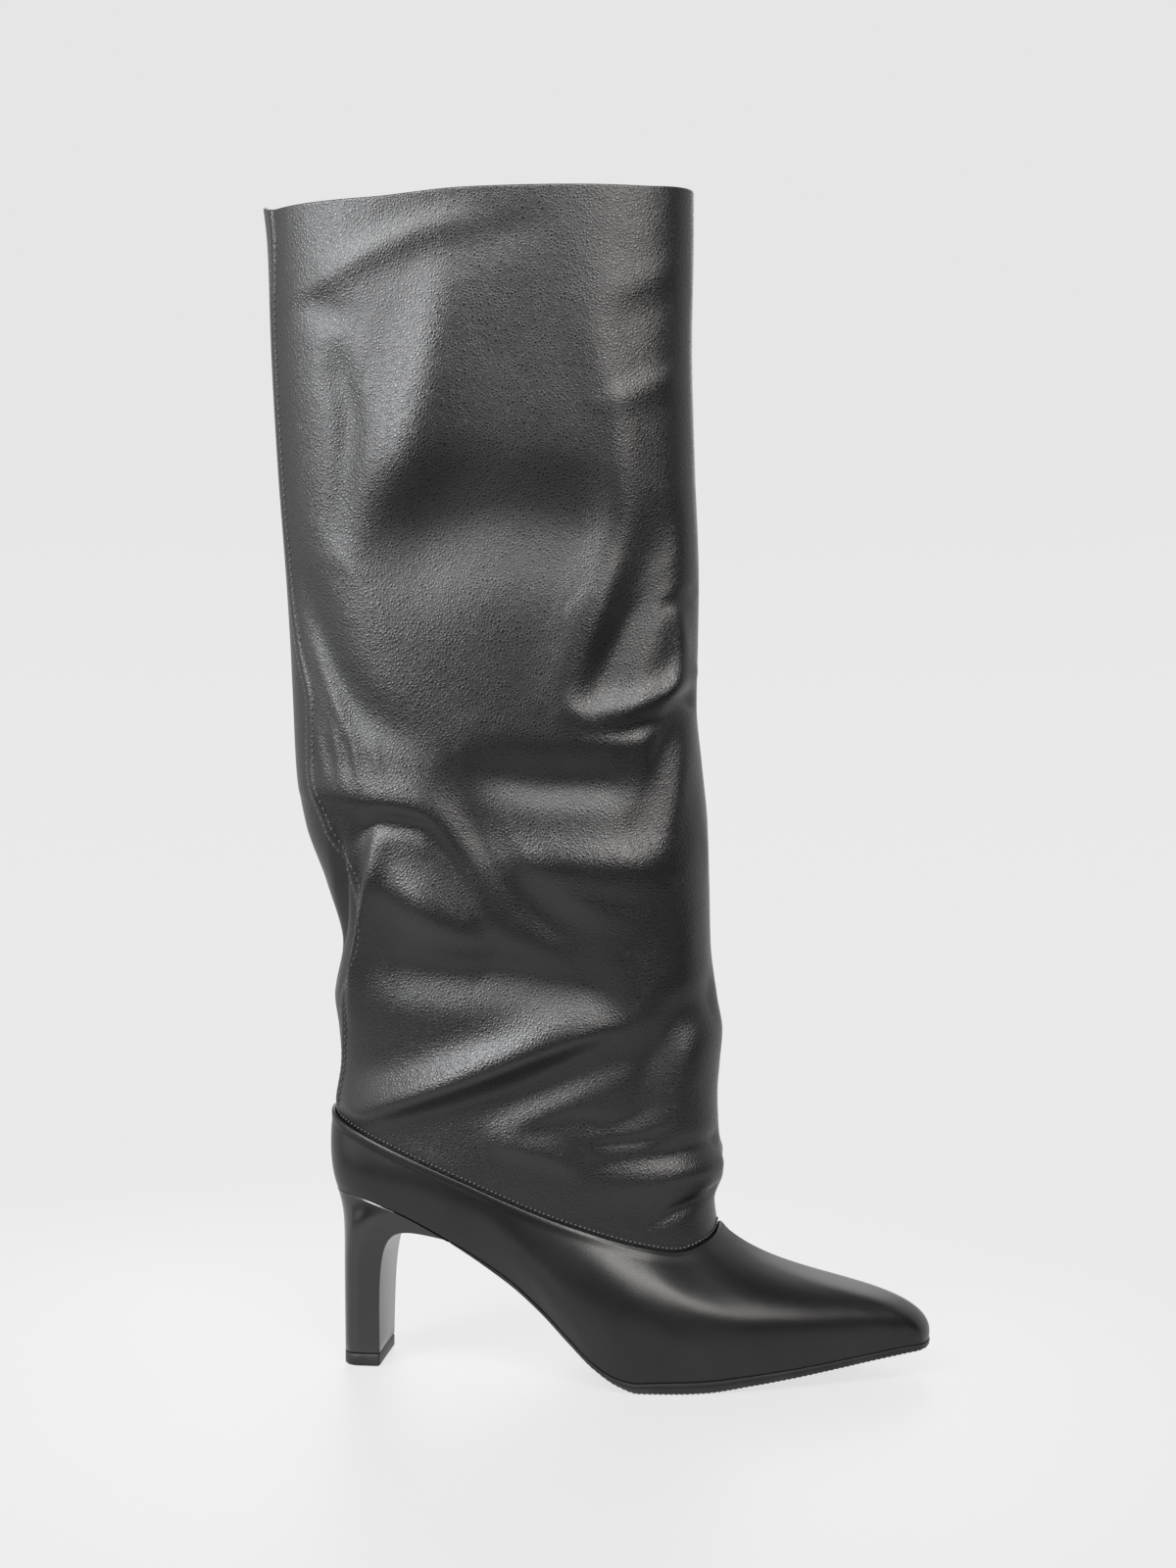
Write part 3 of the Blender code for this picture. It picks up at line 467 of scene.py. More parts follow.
# small capsules along a path: each is a circle of sides carried through rings, its radius
# sqrt(1 - |t|^roundness), arched by (1 - t^2)
def stitches(name, path, up, thread, look):
    share = np.concatenate([[0.0], np.cumsum(np.linalg.norm(np.diff(path, axis=0), axis=1))])
    step = thread["step"]
    count = int(share[-1] / thread["pitch"])
    at = (np.arange(count) + 0.5) * share[-1] / count
    centre, top = (np.stack([np.interp(at, share, p[:, k]) for k in range(3)], 1) for p in (path, up))
    ahead = np.stack([np.interp(at + step, share, path[:, k]) for k in range(3)], 1)
    behind = np.stack([np.interp(at - step, share, path[:, k]) for k in range(3)], 1)
    along = ahead - behind
    along /= np.linalg.norm(along, axis=1)[:, None]
    across = np.cross(along, top)
    across /= np.linalg.norm(across, axis=1)[:, None]
    top = np.cross(across, along)
    t = np.linspace(-1, 1, thread["rings"])[None, :, None, None]
    turn = (np.arange(thread["sides"]) / thread["sides"] * 2 * math.pi)[None, None, :, None]
    swell = np.sqrt(np.clip(1 - np.abs(t) ** thread["roundness"], 0.02, 1)) * thread["radius"]
    arch = (1 - t * t) * thread["arch"]
    along, across, top, centre = (v[:, None, None, :] for v in (along, across, top, centre))
    points = centre + along * t * thread["length"] / 2 + top * arch
    points = points + across * np.cos(turn) * swell + top * np.sin(turn) * swell * thread["flatness"]
    ringCount, sides = thread["rings"], thread["sides"]
    i, j = np.meshgrid(np.arange(ringCount - 1), np.arange(sides), indexing="ij")
    low, high, beside = i * sides, (i + 1) * sides, (j + 1) % sides
    quads = np.stack([low + j, low + beside, high + beside, high + j], -1)
    base = np.arange(count) * ringCount * sides
    quads = (quads.reshape(-1, 4)[None] + base[:, None, None]).reshape(-1, 4)
    first = np.arange(sides)[None, ::-1] + base[:, None]
    last = np.arange(sides)[None] + base[:, None] + (ringCount - 1) * sides
    mesh = bpy.data.meshes.new(name)
    faces = [corners[:, ::-1].tolist() for corners in (quads, first, last)]
    mesh.from_pydata(points.reshape(-1, 3).tolist(), [], faces[0] + faces[1] + faces[2])
    return finishMesh(name, mesh, look, 0)


# shader sums

# one output socket in a sum: each operator adds the Math node that works it out
class Value:
    def __init__(self, looks, socket):
        self.looks, self.socket = looks, socket

    def math(self, operation, *terms):
        return self.looks.node("Math", {"operation": operation}, *terms)

    def __add__(self, other):
        return self.math("ADD", self, other)

    def __sub__(self, other):
        return self.math("SUBTRACT", self, other)

    def __rsub__(self, other):
        return self.math("SUBTRACT", other, self)

    def __mul__(self, other):
        return self.math("MULTIPLY", self, other)

    __radd__, __rmul__ = __add__, __mul__

    def between(self, low, high):
        return self.looks.node("MapRange", {"interpolation_type": "SMOOTHSTEP", "clamp": True}, self, low, high)


# a material's nodes: node() takes a type, its settings, then what its sockets hold or are linked to
class Looks:
    def __init__(self, name):
        self.material = bpy.data.materials.new(name)
        self.material.use_nodes = True
        self.tree = self.material.node_tree
        self.shader = self.tree.nodes["Principled BSDF"]

    def fill(self, socket, value):
        if isinstance(value, Value):
            self.tree.links.new(value.socket, socket)
        elif isinstance(value, tuple) and len(value) == 3 and socket.type == "RGBA":
            socket.default_value = (*value, 1.0)
        else:
            socket.default_value = value

    def node(self, kind, settings=None, *terms, out=0, **named):
        made = self.tree.nodes.new("ShaderNode" + kind)
        for key, value in (settings or {}).items():
            setattr(made, key, value)
        for place, value in enumerate(terms):
            self.fill(made.inputs[place], value)
        for key, value in named.items():
            self.fill(made.inputs[key.replace("_", " ")], value)
        return Value(self, made.outputs[out])

    def noise(self, where, size, detail=3.0, roughness=0.5):
        return self.node("TexNoise", {}, Vector=where, Scale=1 / size, Detail=detail, Roughness=roughness)

    def blend(self, share, first, second):
        made = self.tree.nodes.new("ShaderNodeMix")
        made.data_type = "RGBA"
        for place, value in ((0, share), (6, first), (7, second)):
            self.fill(made.inputs[place], value)
        return Value(self, made.outputs[2])

    def surface(self, **sockets):
        for key, value in sockets.items():
            self.fill(self.shader.inputs[key.replace("_", " ")], value)
        return self.material


# black leather: pebbles from the distance to the edges of small cells, fine pores and soft dents as heights
# in metres; the ridges of a crease are a little smoother and its troughs rougher, with painted highlight on the
# ridges and painted shade in the troughs
def leather(name, look, creaseShaded=False):
    looks = Looks(name)
    where = looks.node("TexCoord", out=3)
    stray = looks.noise(where, look["grain"] * 2.5, 2.0)
    wobble = looks.node("VectorMath", {"operation": "SCALE"}, stray, Scale=look["grain"] * 0.8)
    warped = looks.node("VectorMath", {"operation": "ADD"}, where, wobble)
    cells = looks.node("TexVoronoi", {"feature": "DISTANCE_TO_EDGE"}, Vector=warped, Scale=1 / look["grain"])
    pebble = cells.between(0.0, 0.42)
    patches = looks.noise(where, look["patch"], 3.0)
    pores = looks.noise(where, look["grain"] * 0.9, 3.0, 0.65)
    dents = looks.noise(where, look["dent"], 2.0)
    height = pebble * look["pebbleHeight"] + pores * look["poreHeight"] + dents * look["dentHeight"]
    bump = looks.node("Bump", {}, Strength=1.0, Distance=1.0, Height=height)
    shade = patches.between(0.3, 0.7)
    gloss = look["roughness"] + (patches - 0.5) * look["roughnessSpread"]
    gloss = gloss + (1 - pebble) * look["grooveRoughness"]
    if creaseShaded:
        crease = looks.node("Attribute", {"attribute_name": "crease"}, out=2)
        # painted shade darkens the colour in crease troughs and painted highlight lightens it on crease ridges,
        # mixed into the random tone
        shade = shade * 0.5 + crease.between(-0.003, 0.003) * 0.7
        gloss = gloss - crease.between(0.0, 0.004) * 0.05 + crease.between(0.0, -0.003) * 0.05
    colour = looks.blend(shade, look["dark"], look["light"])
    return looks.surface(
        Base_Color=colour, Roughness=gloss, Normal=bump, Specular_IOR_Level=look["specular"],
    )


# rubber: fine mould grain, and darker and lighter patches at random
def rubber(name, look):
    looks = Looks(name)
    where = looks.node("TexCoord", out=3)
    grain = looks.noise(where, look["grain"], 3.0)
    patches = looks.noise(where, look["patch"], 3.0)
    bump = looks.node("Bump", {}, Strength=1.0, Distance=1.0, Height=grain * look["grainHeight"])
    colour = looks.blend(patches.between(0.35, 0.7), look["dark"], look["light"])
    gloss = look["roughness"] + (patches - 0.5) * 0.15
    return looks.surface(Base_Color=colour, Roughness=gloss, Normal=bump, Specular_IOR_Level=look["specular"])


softLook = {
    "grain": 0.0013, "pebbleHeight": 0.000072, "poreHeight": 0.000026, "dent": 0.012, "dentHeight": 0.00020,
    "patch": 0.035, "dark": (0.004, 0.004, 0.0042), "light": (0.0075, 0.0070, 0.0078), "roughness": 0.28,
    "roughnessSpread": 0.08, "grooveRoughness": 0.14, "specular": 0.60,
}
smoothLook = {
    "grain": 0.0008, "pebbleHeight": 0.000010, "poreHeight": 0.000005, "dent": 0.016, "dentHeight": 0.00012,
    "patch": 0.03, "dark": (0.004, 0.004, 0.0042), "light": (0.007, 0.0069, 0.0069), "roughness": 0.29,
    "roughnessSpread": 0.05, "grooveRoughness": 0.05, "specular": 0.44,
}
heelLook = dict(smoothLook, roughness=0.17, specular=0.75)
liningLook = {
    "grain": 0.0009, "pebbleHeight": 0.00004, "poreHeight": 0.00003, "dent": 0.01, "dentHeight": 0.0002,
    "patch": 0.03, "dark": (0.040, 0.035, 0.031), "light": (0.066, 0.058, 0.050), "roughness": 0.62,
    "roughnessSpread": 0.10, "grooveRoughness": 0.06, "specular": 0.35,
}
soleLook = {
    "grain": 0.0005, "grainHeight": 0.00003, "patch": 0.012, "dark": (0.010, 0.010, 0.010),
    "light": (0.018, 0.018, 0.018), "roughness": 0.48, "specular": 0.4,
}
threadLook = {
    "grain": 0.0002, "grainHeight": 0.00002, "patch": 0.004, "dark": (0.035, 0.035, 0.035),
    "light": (0.060, 0.060, 0.060), "roughness": 0.38, "specular": 0.6,
}

softLeather = leather("softGrainedLeather", softLook, creaseShaded=True)
hemLeather = leather("smoothBlackLeather", smoothLook)
heelLeather = leather("polishedHeelLeather", heelLook)
lining = leather("darkLiningLeather", liningLook)
soleRubber = rubber("soleRubber", soleLook)
thread = rubber("waxedThread", threadLook)
print("materials made")


# the shaft

# rides on the one body and stands for the named nodes; slot is not used
def wear(piece, slot, *nodes):
    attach(piece, "root")
    if nodes:
        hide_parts(*nodes)
    return piece


# columns counted from the back seam, close beside it and at even steps elsewhere
def shaftPlaces(count):
    beside = np.array([0.0, 0.25, 0.45, 0.65, 0.9, 1.3]) * shaft["seamWidth"] / (2 * halfGirth)
    half = np.concatenate([beside, np.linspace(beside[-1], 0.5, count // 2 - 4)[1:]])
    return np.concatenate([half, 1.0 - half[-2:0:-1]])


# side, share of the half girth and height of each point of a grid that starts at the back seam, which strays
# with height, and goes up from the tuck to the collar; level runs from 0 to 1
def shaftGrid(places, level, drop):
    height = 0.2 + 0.8 * level
    for _ in range(4):
        turn = (places + readTable(shaft["table"], "height", "seam", height) / 2) % 1.0
        side = np.where(turn < 0.5, -1, 1)
        around = np.where(turn < 0.5, 2 * turn, 2 - 2 * turn)
        lowest = toplineHeight(around) - shaft["tuck"]
        z = lowest + (collarHeight(around) - drop - lowest) * level
        height = z / shaft["height"]
    return side, around, z


# body, hem, a half circle for the rim, then the inner wall back down; the seam is a low ridge that fades out
# across seamWidth and begins above the tuck
def makeShaft():
    places = shaftPlaces(shaft["columns"])
    t = np.linspace(0, 1, shaft["rows"])[:, None]
    level = t - shaft["crowding"] * np.sin(math.pi * t)
    side, around, z = shaftGrid(places, level, shaft["hemHeight"])
    beside = np.minimum(places, 1 - places) * 2 * halfGirth / shaft["seamWidth"]
    ridge = shaft["seamHeight"] * (1 - ease(0.25, 0.95, beside))
    shown = ease(0.0, shaft["tuck"], z - toplineHeight(around))
    body, crease = shaftSkin(side, around, z, ridge * shown)
    bodyIn, _ = shaftSkin(side, around, z, -shaft["leather"], crease)

    side, around = side[-1:], around[-1:]
    rise = np.array(shaft["hemRows"])[:, None]
    z = collarHeight(around) - shaft["hemHeight"] * (1 - rise)
    hem, hemCrease = shaftSkin(side, around, z, ridge)
    hemIn, _ = shaftSkin(side, around, z, -shaft["leather"] - shaft["hemExtra"], hemCrease)
    turn = np.linspace(0, math.pi, shaft["rimSteps"])[1:-1, None, None]
    middle, half = (hem[-1:] + hemIn[-1:]) / 2, (hem[-1:] - hemIn[-1:]) / 2
    lift = np.array([0.0, 0.0, 1.0]) * (1 - shaft["hemRows"][-1]) * shaft["hemHeight"] * 2
    rim = middle + half * np.cos(turn) + lift * np.sin(turn)
    inside = np.concatenate([bodyIn[::2], hemIn[::2]])
    insideCrease = np.concatenate([crease[::2], hemCrease[::2]])
    rings = np.concatenate([body, hem, rim, inside[::-1]])
    rimCrease = np.repeat(hemCrease[-1:], len(rim), 0)
    marks = np.concatenate([crease, hemCrease, rimCrease, insideCrease[::-1]])
    return ringObject("shaftLeather", rings, softLeather, loop=True, sharp=0, marks={"crease": marks})


innerSheet = {"columns": 150, "rows": 100, "drop": 1.1, "gap": 0.0001, "thickness": 0.0005, "rim": 0.0003}


# the same grid inside the leather, as a thin sheet with its own thickness
def makeShaftLining():
    places = shaftPlaces(innerSheet["columns"])
    level = np.linspace(0, 1, innerSheet["rows"])[:, None]
    side, around, z = shaftGrid(places, level, shaft["hemHeight"] * innerSheet["drop"])
    near = -shaft["leather"] - innerSheet["gap"]
    outer, crease = shaftSkin(side, around, z, near)
    inner, _ = shaftSkin(side, around, z, near - innerSheet["thickness"], crease)
    rim = (outer[-1:] + inner[-1:]) / 2 + (0, 0, innerSheet["rim"])
    rings = np.concatenate([outer, rim, inner[::-1]])
    return ringObject("shaftLining", rings, lining, loop=True, sharp=0)


wear(makeShaft(), "grained_leather", "shaft")
wear(makeShaftLining(), "lining_leather")
print("shaft done")


# the foot shell

upper = {
    "wall": 0.0014, "clearance": 0.0003, "rows": 46, "bead": 0.0004, "beadReach": 0.0034,
    "beadEdge": 0.3, "lead": 0.37, "lastRows": (0.985, 0.993, 1.0), "rimSteps": 7,
    # lower handle out and up, upper handle over and down, as shares of ballWidth
    "table": columns(("around", "out", "up", "over", "down"), (
        (0.00, 0.040, 0.130, 0.012, 0.130), (0.10, 0.055, 0.120, 0.020, 0.120),
        (0.28, 0.070, 0.130, 0.030, 0.130), (0.45, 0.060, 0.190, 0.070, 0.190),
        (0.60, 0.050, 0.230, 0.150, 0.240), (0.78, 0.035, 0.240, 0.240, 0.280),
        (0.92, 0.052, 0.280, 0.285, 0.300), (1.00, 0.065, 0.300, 0.300, 0.300),
    )),
}


# cubic Bezier profiles from the feather line to the topline, thickened inwards, with a folded edge on top
def makeUpper():
    count = len(plan[-1])
    share = lengthShare(plan[-1])
    sides = np.concatenate([np.full(count, -1), np.full(count - 2, 1)])
    share = np.concatenate([share, share[-2:0:-1]])
    base = aroundPlan()
    low = np.column_stack([base, featherHeight(base[:, 0])])
    outwards = np.column_stack([aroundPlan(1.0) - base, np.zeros(len(base))])
    up = np.array([0.0, 0.0, 1.0])
    around = share + upper["lead"] * share * (1 - share)
    topZ = toplineHeight(around)
    gap = upper["clearance"] + upper["wall"]
    top, _ = shaftSkin(sides, around, topZ, gap)
    within, _ = shaftSkin(sides, around, topZ, gap - 1.0)
    handle = {n: readTable(upper["table"], "around", n, share)[:, None] * foot["ballWidth"]
              for n in ("out", "up", "over", "down")}
    lowHandle = low + outwards * handle["out"] + up * handle["up"]
    topHandle = top + (top - within) * handle["over"] - up * handle["down"]
    t = np.linspace(0.0, 1.0, upper["rows"])
    t = np.concatenate([t[:-1], upper["lastRows"]])[:, None, None]
    outside = low * (1 - t) ** 3 + 3 * lowHandle * t * (1 - t) ** 2
    outside = outside + 3 * topHandle * t**2 * (1 - t) + top * t**3
    normal = normalsOf(outside)
    normal[[0, -1], :, 2] = 0.0
    normal /= np.linalg.norm(normal, axis=2)[..., None]
    inside = outside - normal * upper["wall"]
    below = np.linalg.norm(outside - outside[-1:], axis=2)[..., None]
    beadEdge = upper["beadEdge"] * upper["beadReach"]
    outside = outside + normal * upper["bead"] * ease(upper["beadReach"], beadEdge, below)
    turn = np.linspace(0, math.pi, upper["rimSteps"])[1:-1, None, None]
    middle, half = (outside[-1:] + inside[-1:]) / 2, (outside[-1:] - inside[-1:]) / 2
    rim = middle + half * np.cos(turn) + up * 0.5 * upper["wall"] * np.sin(turn)
    rings = np.concatenate([outside, rim, inside[::-2]])
    return ringObject("footLeather", rings, hemLeather, loop=True, sharp=50)


wear(makeUpper(), "smooth_leather", "upper")
print("foot shell done")


# sole, heel, tip and sock

sole = {
    "lip": 0.0008, "clearance": 0.0003, "groovePitch": 0.0021, "grooveDepth": 0.00035, "groovesFrom": 0.100,
    "thinReach": 0.024, "thinEnd": 0.05, "grooveFade": 0.012,
    # where the fine rings start and end, and from where the plan's own are kept
    "finesFrom": 0.004, "finesTo": 0.012, "ownFrom": 0.003,
    # the side from its top edge down: out as a share of lip, drop as a share of the thickness
    "side": columns(("out", "drop"), (
        (0.40, 0.00), (0.85, 0.02), (1.00, 0.08), (1.00, 0.22), (0.75, 0.28), (0.15, 0.33), (0.05, 0.40),
        (0.20, 0.60), (0.35, 0.80), (0.20, 0.92), (-0.60, 1.00),
    )),
}
heel = {
    "tipLength": 0.0131, "tipWidth": 0.0315, "tipThickness": 0.0049, "tipRounding": 0.0032,
    "corner": 0.0010, "flare": 1.30, "archRise": 0.0600, "tongue": 0.0375, "rows": 44,
    "groove": 0.0005, "grooveShare": 0.018, "clearance": 0.0003, "edge": 0.0004, "backRoundness": 3.2,
    "turnX": 0.05, "turnY": 0.3, "cornerSteps": 7, "sideSteps": 90, "backSteps": 60,
}
sock = {"thickness": 0.0020}


# rings of the side's profile carried round the foot's plan; the bottom edge is cut by fine cross grooves,
# 1 - cos of x over their pitch, and the sole runs out thin under the heel's tongue
def makeSole():
    own = plan[-1][:, 0]
    start = heel["tongue"] + sole["clearance"]
    spread = np.arange(heel["tongue"] + sole["finesFrom"], own[-1] - sole["finesTo"], sole["groovePitch"] / 4)
    x = np.unique(np.concatenate([[start], own[own > heel["tongue"] + sole["ownFrom"]], spread]))
    full = np.clip(soleDepth(x) / foot["soleThickness"], 0, 1)
    top = featherHeight(x) - sole["clearance"]
    thinned = ease(heel["tongue"] - sole["thinReach"] / 2, heel["tongue"] + sole["thinReach"], x)
    depth = (top - soleBottom(x)) * (sole["thinEnd"] + (1 - sole["thinEnd"]) * thinned)
    wave = 0.5 - 0.5 * np.cos(2 * math.pi * x / sole["groovePitch"])
    cut = sole["grooveDepth"] * wave * ease(sole["groovesFrom"] - sole["grooveFade"], sole["groovesFrom"], x)
    rings = []
    for out, drop in zip(sole["side"]["out"], sole["side"]["drop"]):
        z = top - drop * depth + cut * ease(0.8, 1.0, drop)
        near, far = (np.column_stack([planAt(side, x, out * sole["lip"] * full), z]) for side in (-1, 1))
        rings.append(np.concatenate([near[::-1], far[:-1]]))
    return ringObject("soleRubber", rings, soleRubber, sharp=45)


# a quarter turn of radius corner that ends the side of a plan and faces the toe
def cornerTurn(x, y, side):
    turn = np.linspace(math.pi / 2, 0.0, heel["cornerSteps"])[1:]
    reach = heel["corner"]
    return np.stack([x - reach + reach * np.cos(turn), y - side * reach * (1 - np.sin(turn))], 1)


# one side of the heel's top: the plan at even steps up to the tongue, then the corner
def seatHalf(side):
    edge = heel["tongue"] - heel["corner"]
    path = plan[side][plan[side][:, 0] < edge - 0.0005]
    path = np.concatenate([path, planAt(side, np.array([edge]))])
    share = lengthShare(path)
    even = np.linspace(0, 1, heel["sideSteps"])
    path = np.stack([np.interp(even, share, path[:, k]) for k in (0, 1)], 1)
    return np.concatenate([path, cornerTurn(heel["tongue"], path[-1, 1], side)])


# a superellipse quarter for the back, then the straight side and the corner of the breast
def tipHalf(side, shrink=0.0):
    angle = np.linspace(0.0, math.pi / 2, heel["backSteps"])
    back, width = heel["tipLength"] / 2 + heel["tipRounding"] - shrink, heel["tipWidth"] / 2 - shrink
    power = 2 / heel["backRoundness"]
    x, y = -back * np.cos(angle) ** power, width * np.sin(angle) ** power
    front = heel["tipLength"] / 2 - shrink
    path = np.stack([np.append(x, front - heel["corner"]), np.append(y, width)], 1)
    share = lengthShare(path)
    even = np.linspace(0, 1, heel["sideSteps"])
    path = np.stack([np.interp(even, share, path[:, k]) for k in (0, 1)], 1)
    path = np.concatenate([path, cornerTurn(front, width, 1)])
    return path * (1, side)


# two halves joined to one ring, each point at the height that z gives for its x
def heelRing(half, z):
    ring = np.concatenate([half(-1), half(1)[:0:-1]])
    return np.column_stack([ring, z(ring[:, 0])])


# each line is a cubic Bezier that rises from the top piece, flares, and runs into the seat
def makeHeel():
    lowZ = heel["tipThickness"] + heel["clearance"]
    low = heelRing(tipHalf, lambda x: np.full(len(x), lowZ))
    high = heelRing(seatHalf, lambda x: featherHeight(x) - heel["clearance"])
    rise = low * (1.0, heel["flare"], 0.0) + (0.0, 0.0, heel["archRise"])
    turn = rise + (high - rise) * (heel["turnX"], heel["turnY"], 0.0)
    t = np.linspace(0.0, 1.0, heel["rows"])[:, None, None]
    rings = low * (1 - t) ** 3 + 3 * rise * t * (1 - t) ** 2 + 3 * turn * t**2 * (1 - t) + high * t**3
    base = heelRing(lambda side: tipHalf(side, heel["edge"]), lambda x: np.full(len(x), lowZ))
    edge = high - (0.0, 0.0, heel["groove"])
    within = high * (1 - heel["grooveShare"], 1 - heel["grooveShare"], 1.0)
    lowest = rings[:1] + (0, 0, heel["edge"])
    rings = np.concatenate([base[None], lowest, rings[1:-1], edge[None], within[None]])
    return ringObject("heelCover", rings, heelLeather, sharp=50)


# four rings of the tip's outline, drawn in a little at the floor and at the top
def makeHeelTip():
    deep = heel["tipThickness"]
    edge, clearance = heel["edge"], heel["clearance"]
    steps = ((edge, 0.0), (0.0, edge), (0.0, deep - clearance), (clearance, deep))
    rings = [heelRing(lambda side: tipHalf(side, s), lambda x: np.full(len(x), z)) for s, z in steps]
    return ringObject("heelTip", rings, soleRubber, sharp=50)


# the plan drawn in by the shell's wall, on the feather line
def makeSock():
    ring = aroundPlan(-upper["wall"] - 2 * upper["clearance"])
    low = np.column_stack([ring, featherHeight(aroundPlan()[:, 0])])
    return ringObject("sock", [low + (0, 0, sock["thickness"]), low], lining, sharp=50)


wear(makeSole(), "sole_rubber", "outsole")
wear(makeHeel(), "smooth_leather", "heel")
wear(makeHeelTip(), "sole_rubber", "heel_tip")
wear(makeSock(), "lining_leather", "insole")
print("sole, heel, tip and sock done")


# stitches

toplineThread = {"pitch": 0.0019, "length": 0.00125, "radius": 0.00046, "arch": 0.00016, "rings": 5, "sides": 6,
                 "roundness": 2.6, "flatness": 0.8, "step": 0.0004, "lift": 0.00012, "above": 0.0019}
seamThread = {"pitch": 0.0030, "length": 0.0021, "radius": 0.00034, "arch": 0.00016, "rings": 5, "sides": 6,
              "roundness": 2.6, "flatness": 0.8, "step": 0.0004, "lift": 0.00012, "beside": 0.0021}


# a row just above the topline, all the way round
def toplineRow():
    turn = np.linspace(0, 1, 1600)[:-1]
    side = np.where(turn < 0.5, -1, 1)
    around = np.where(turn < 0.5, 2 * turn, 2 - 2 * turn)
    z = toplineHeight(around) + toplineThread["above"]
    path, _ = shaftSkin(side, around, z, toplineThread["lift"])
    out, _ = shaftSkin(side, around, z, toplineThread["lift"] + 0.001)  # a point a millimetre further out
    return stitches("toplineStitches", path, out - path, toplineThread, thread)


# a row on each side of the back seam
def seamRow(name, beside):
    level = np.linspace(0.03, 0.995, 900)[:, None]
    place = np.array([beside / (2 * halfGirth)]) % 1.0
    side, around, z = shaftGrid(place, level, shaft["hemHeight"])
    path, _ = shaftSkin(side, around, z, seamThread["lift"])
    out, _ = shaftSkin(side, around, z, seamThread["lift"] + 0.001)
    return stitches(name, path[:, 0], (out - path)[:, 0], seamThread, thread)


wear(toplineRow(), "smooth_leather")
wear(seamRow("seamStitchesOuter", seamThread["beside"]), "grained_leather")
wear(seamRow("seamStitchesInner", -seamThread["beside"]), "grained_leather")
print("stitches done")


# floor, light and camera

studio = {
    "segments": 192, "floorRadius": 0.46, "radius": 1.7, "bend": 1.0, "wallHeight": 3.2,
    "floorRings": (0.1, 0.2, 0.3), "wallRings": (0.9, 1.3), "bendSteps": 24,
    "fadeFrom": 0.12, "fadeTo": 0.45, "roughness": 0.45, "specular": 0.12,
    "paper": 0.06, "nearGlow": 0.69, "farGlow": 0.82, "highGlow": 0.79, "world": 0.06,
    # name: place, point it faces, width, height, radiance, colour
    "lights": (
        ("highBox", (0.00, -0.95, 1.55), (0.06, 0.0, 0.20), 1.6, 0.50, 10.0, (1.0, 1.0, 1.0)),
        ("leftBox", (-0.83, -1.03, 1.06), (0.04, 0.0, 0.28), 0.60, 1.05, 14.5, (0.97, 0.985, 1.0)),
        ("rightBox", (0.76, -1.10, 1.12), (0.06, 0.0, 0.30), 0.62, 0.85, 8.5, (1.0, 0.965, 0.93)),
        ("rearBox", (0.05, 1.35, 1.00), (0.05, 0.0, 0.25), 1.40, 0.90, 1.6, (1.0, 1.0, 1.0)),
        ("leftFill", (-1.30, -0.45, 0.60), (0.0, 0.0, 0.25), 0.80, 1.20, 1.6, (0.98, 0.99, 1.0)),
    ),
}


# circles of the profile's radii at its heights, over the angles from first to last
def revolved(name, radius, height, look, first, last):
    whole = last - first == 360
    steps = studio["segments"] * (last - first) // 360
    angle = np.radians(np.linspace(first, last, steps + 1))[: steps if whole else steps + 1]
    count = len(angle)
    out, up = radius[:, None], height[:, None]
    rings = np.stack([out * np.cos(angle), out * np.sin(angle), up + 0 * angle], -1)
    i, j = np.meshgrid(np.arange(len(rings) - 1), np.arange(count if whole else count - 1), indexing="ij")
    low, high, k = i * count, (i + 1) * count, (j + 1) % count
    quads = np.stack([low + j, high + j, high + k, low + k], -1).reshape(-1, 4)
    mesh = bpy.data.meshes.new(name)
    hub = [tuple(range(count))] if whole else []
    mesh.from_pydata(rings.reshape(-1, 3).tolist(), [], quads.tolist() + hub)
    made = finishMesh(name, mesh, look, 0)
    return made


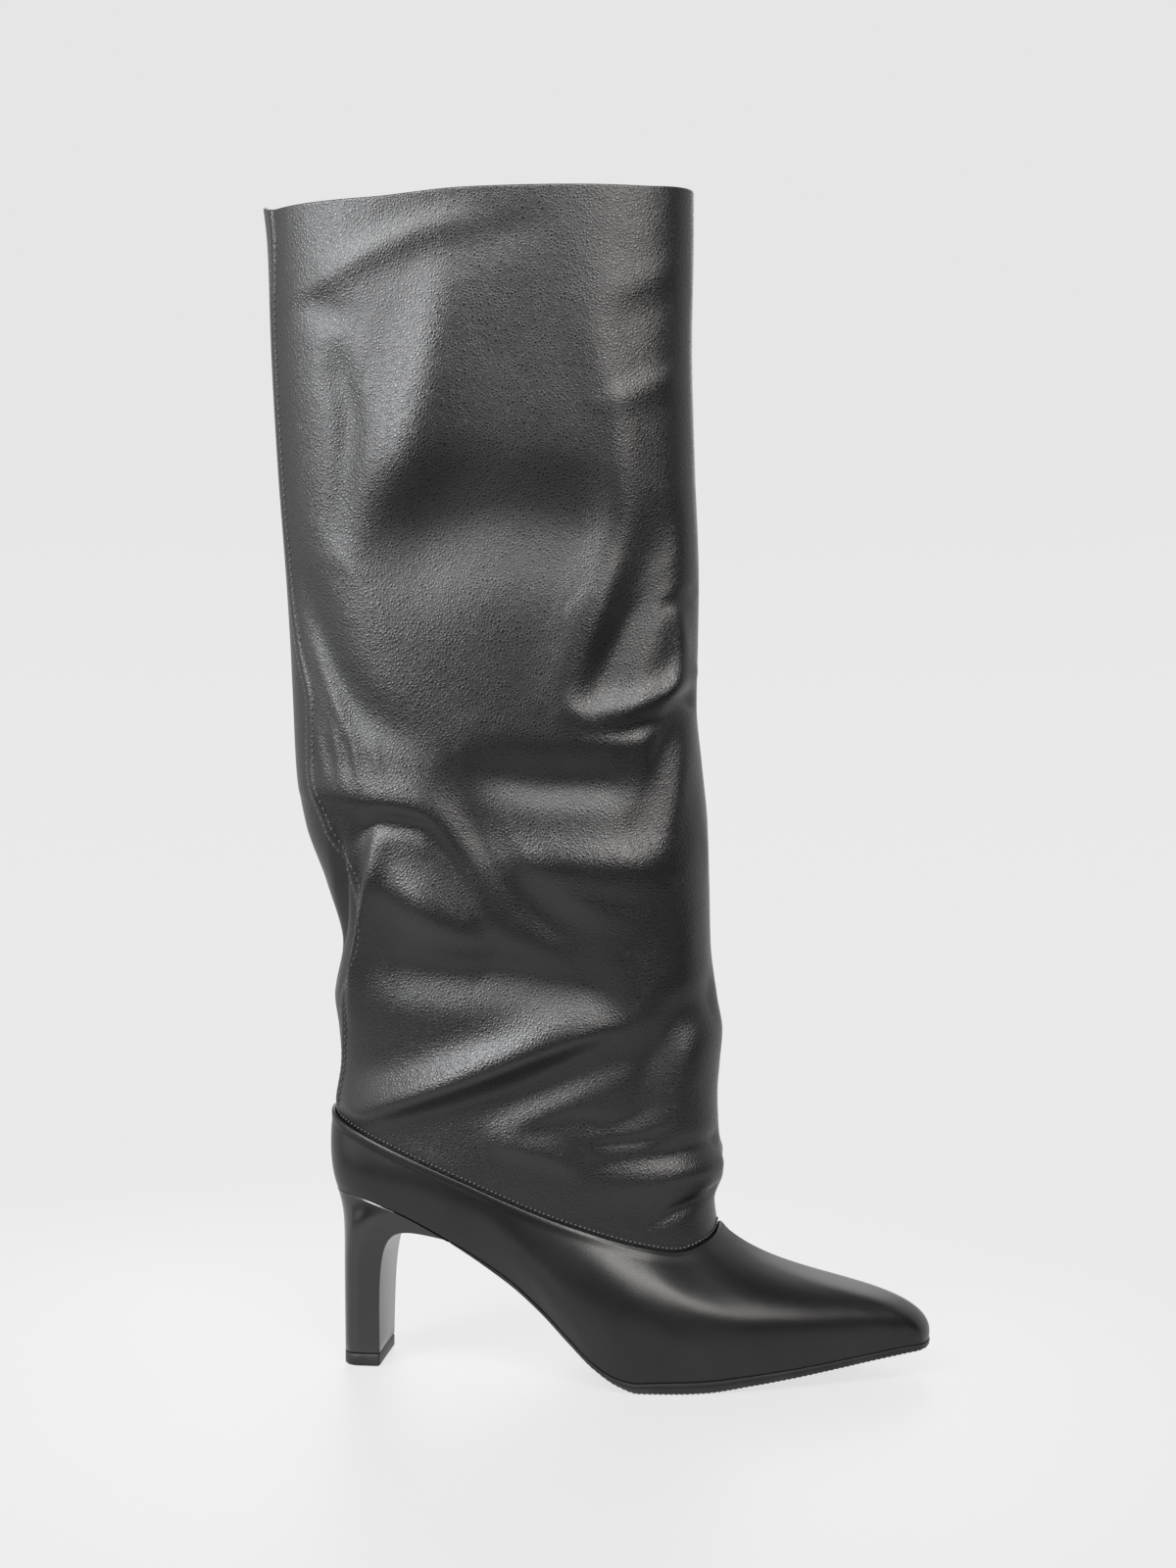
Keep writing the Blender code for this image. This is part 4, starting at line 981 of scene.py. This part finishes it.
# pale paper under the boot that bends up into a wall all round; it shines by itself more and more with its
# distance, so that it has no edge to see. The half in front is out of the picture, and lights nothing.
def makeStage():
    looks = Looks("palePaper")
    where = looks.node("TexCoord", out=3)
    flat = looks.node("VectorMath", {"operation": "MULTIPLY"}, where, (1.0, 1.0, 0.0))
    away = looks.node("VectorMath", {"operation": "LENGTH"}, flat, out=1)
    far = away.between(studio["fadeFrom"], studio["fadeTo"])
    height = looks.node("SeparateXYZ", {}, where, out=2)
    grey = {name: (studio[name],) * 3 for name in ("paper", "nearGlow", "farGlow", "highGlow")}
    looks.surface(
        Base_Color=grey["paper"], Roughness=studio["roughness"], Specular_IOR_Level=studio["specular"],
        Emission_Color=grey["nearGlow"], Emission_Strength=1.0,
    )
    glow = looks.blend(height.between(0.0, 1.0), grey["farGlow"], grey["highGlow"])
    plain = looks.node("Emission", {}, glow, 1.0)
    near = Value(looks, looks.shader.outputs[0])
    both = looks.node("MixShader", {}, far, near, plain)
    looks.tree.links.new(both.socket, looks.tree.nodes["Material Output"].inputs["Surface"])
    radius = np.array([*studio["floorRings"], studio["floorRadius"]])
    revolved("floor", radius, np.zeros(len(radius)), looks.material, 0, 360)
    turn = np.linspace(0, math.pi / 2, studio["bendSteps"])
    out = studio["radius"] + studio["bend"] * np.sin(turn)
    radius = np.concatenate([[studio["floorRadius"], *studio["wallRings"]], out, out[-1:]])
    height = np.concatenate([[0, 0, 0], studio["bend"] * (1 - np.cos(turn)), [studio["wallHeight"]]])
    revolved("backdrop", radius, height, looks.material, 0, 180)
    front = revolved("frontBackdrop", radius, height, looks.material, 180, 360)
    front.visible_glossy = front.visible_diffuse = front.visible_shadow = False


# soft boxes whose energy is radiance times area times pi
def makeLights():
    world = bpy.data.worlds.new("studioAir")
    world.use_nodes = True
    world.node_tree.nodes["Background"].inputs["Color"].default_value = (1, 1, 1, 1)
    world.node_tree.nodes["Background"].inputs["Strength"].default_value = studio["world"]
    bpy.context.scene.world = world
    for name, place, aim, width, height, radiance, colour in studio["lights"]:
        lamp = bpy.data.lights.new(name, "AREA")
        lamp.shape, lamp.size, lamp.size_y = "RECTANGLE", width, height
        lamp.energy, lamp.color = radiance * width * height * math.pi, colour
        thing = bpy.data.objects.new(name, lamp)
        bpy.context.collection.objects.link(thing)
        aimAt(thing, place, aim)
        thing.visible_camera = False


# turned so that its -Z axis points at aim and its +Y axis up
def aimAt(thing, place, aim):
    way = mathutils.Vector(aim) - mathutils.Vector(place)
    thing.rotation_euler = way.to_track_quat("-Z", "Y").to_euler()
    thing.location = place


view = {"distance": 0.800, "turn": 5.83, "aimX": 0.0911, "height": 0.2395, "lens": 44.28, "sensor": 36.0}


# level, turned round the boot, at the photograph's angle
def makeCamera():
    turn = math.radians(view["turn"])
    aim = (view["aimX"], 0.0, view["height"])
    place = (aim[0] + view["distance"] * math.sin(turn), -view["distance"] * math.cos(turn), aim[2])
    lens = bpy.data.cameras.new("camera")
    lens.lens, lens.sensor_width, lens.sensor_fit = view["lens"], view["sensor"], "AUTO"
    lens.clip_start, lens.clip_end = 0.01, 50
    camera = bpy.data.objects.new("camera", lens)
    bpy.context.collection.objects.link(camera)
    aimAt(camera, place, aim)
    bpy.context.scene.camera = camera


makeStage()
makeLights()
makeCamera()
bpy.context.scene.view_settings.view_transform = "Standard"
print("stage, lights and camera done")
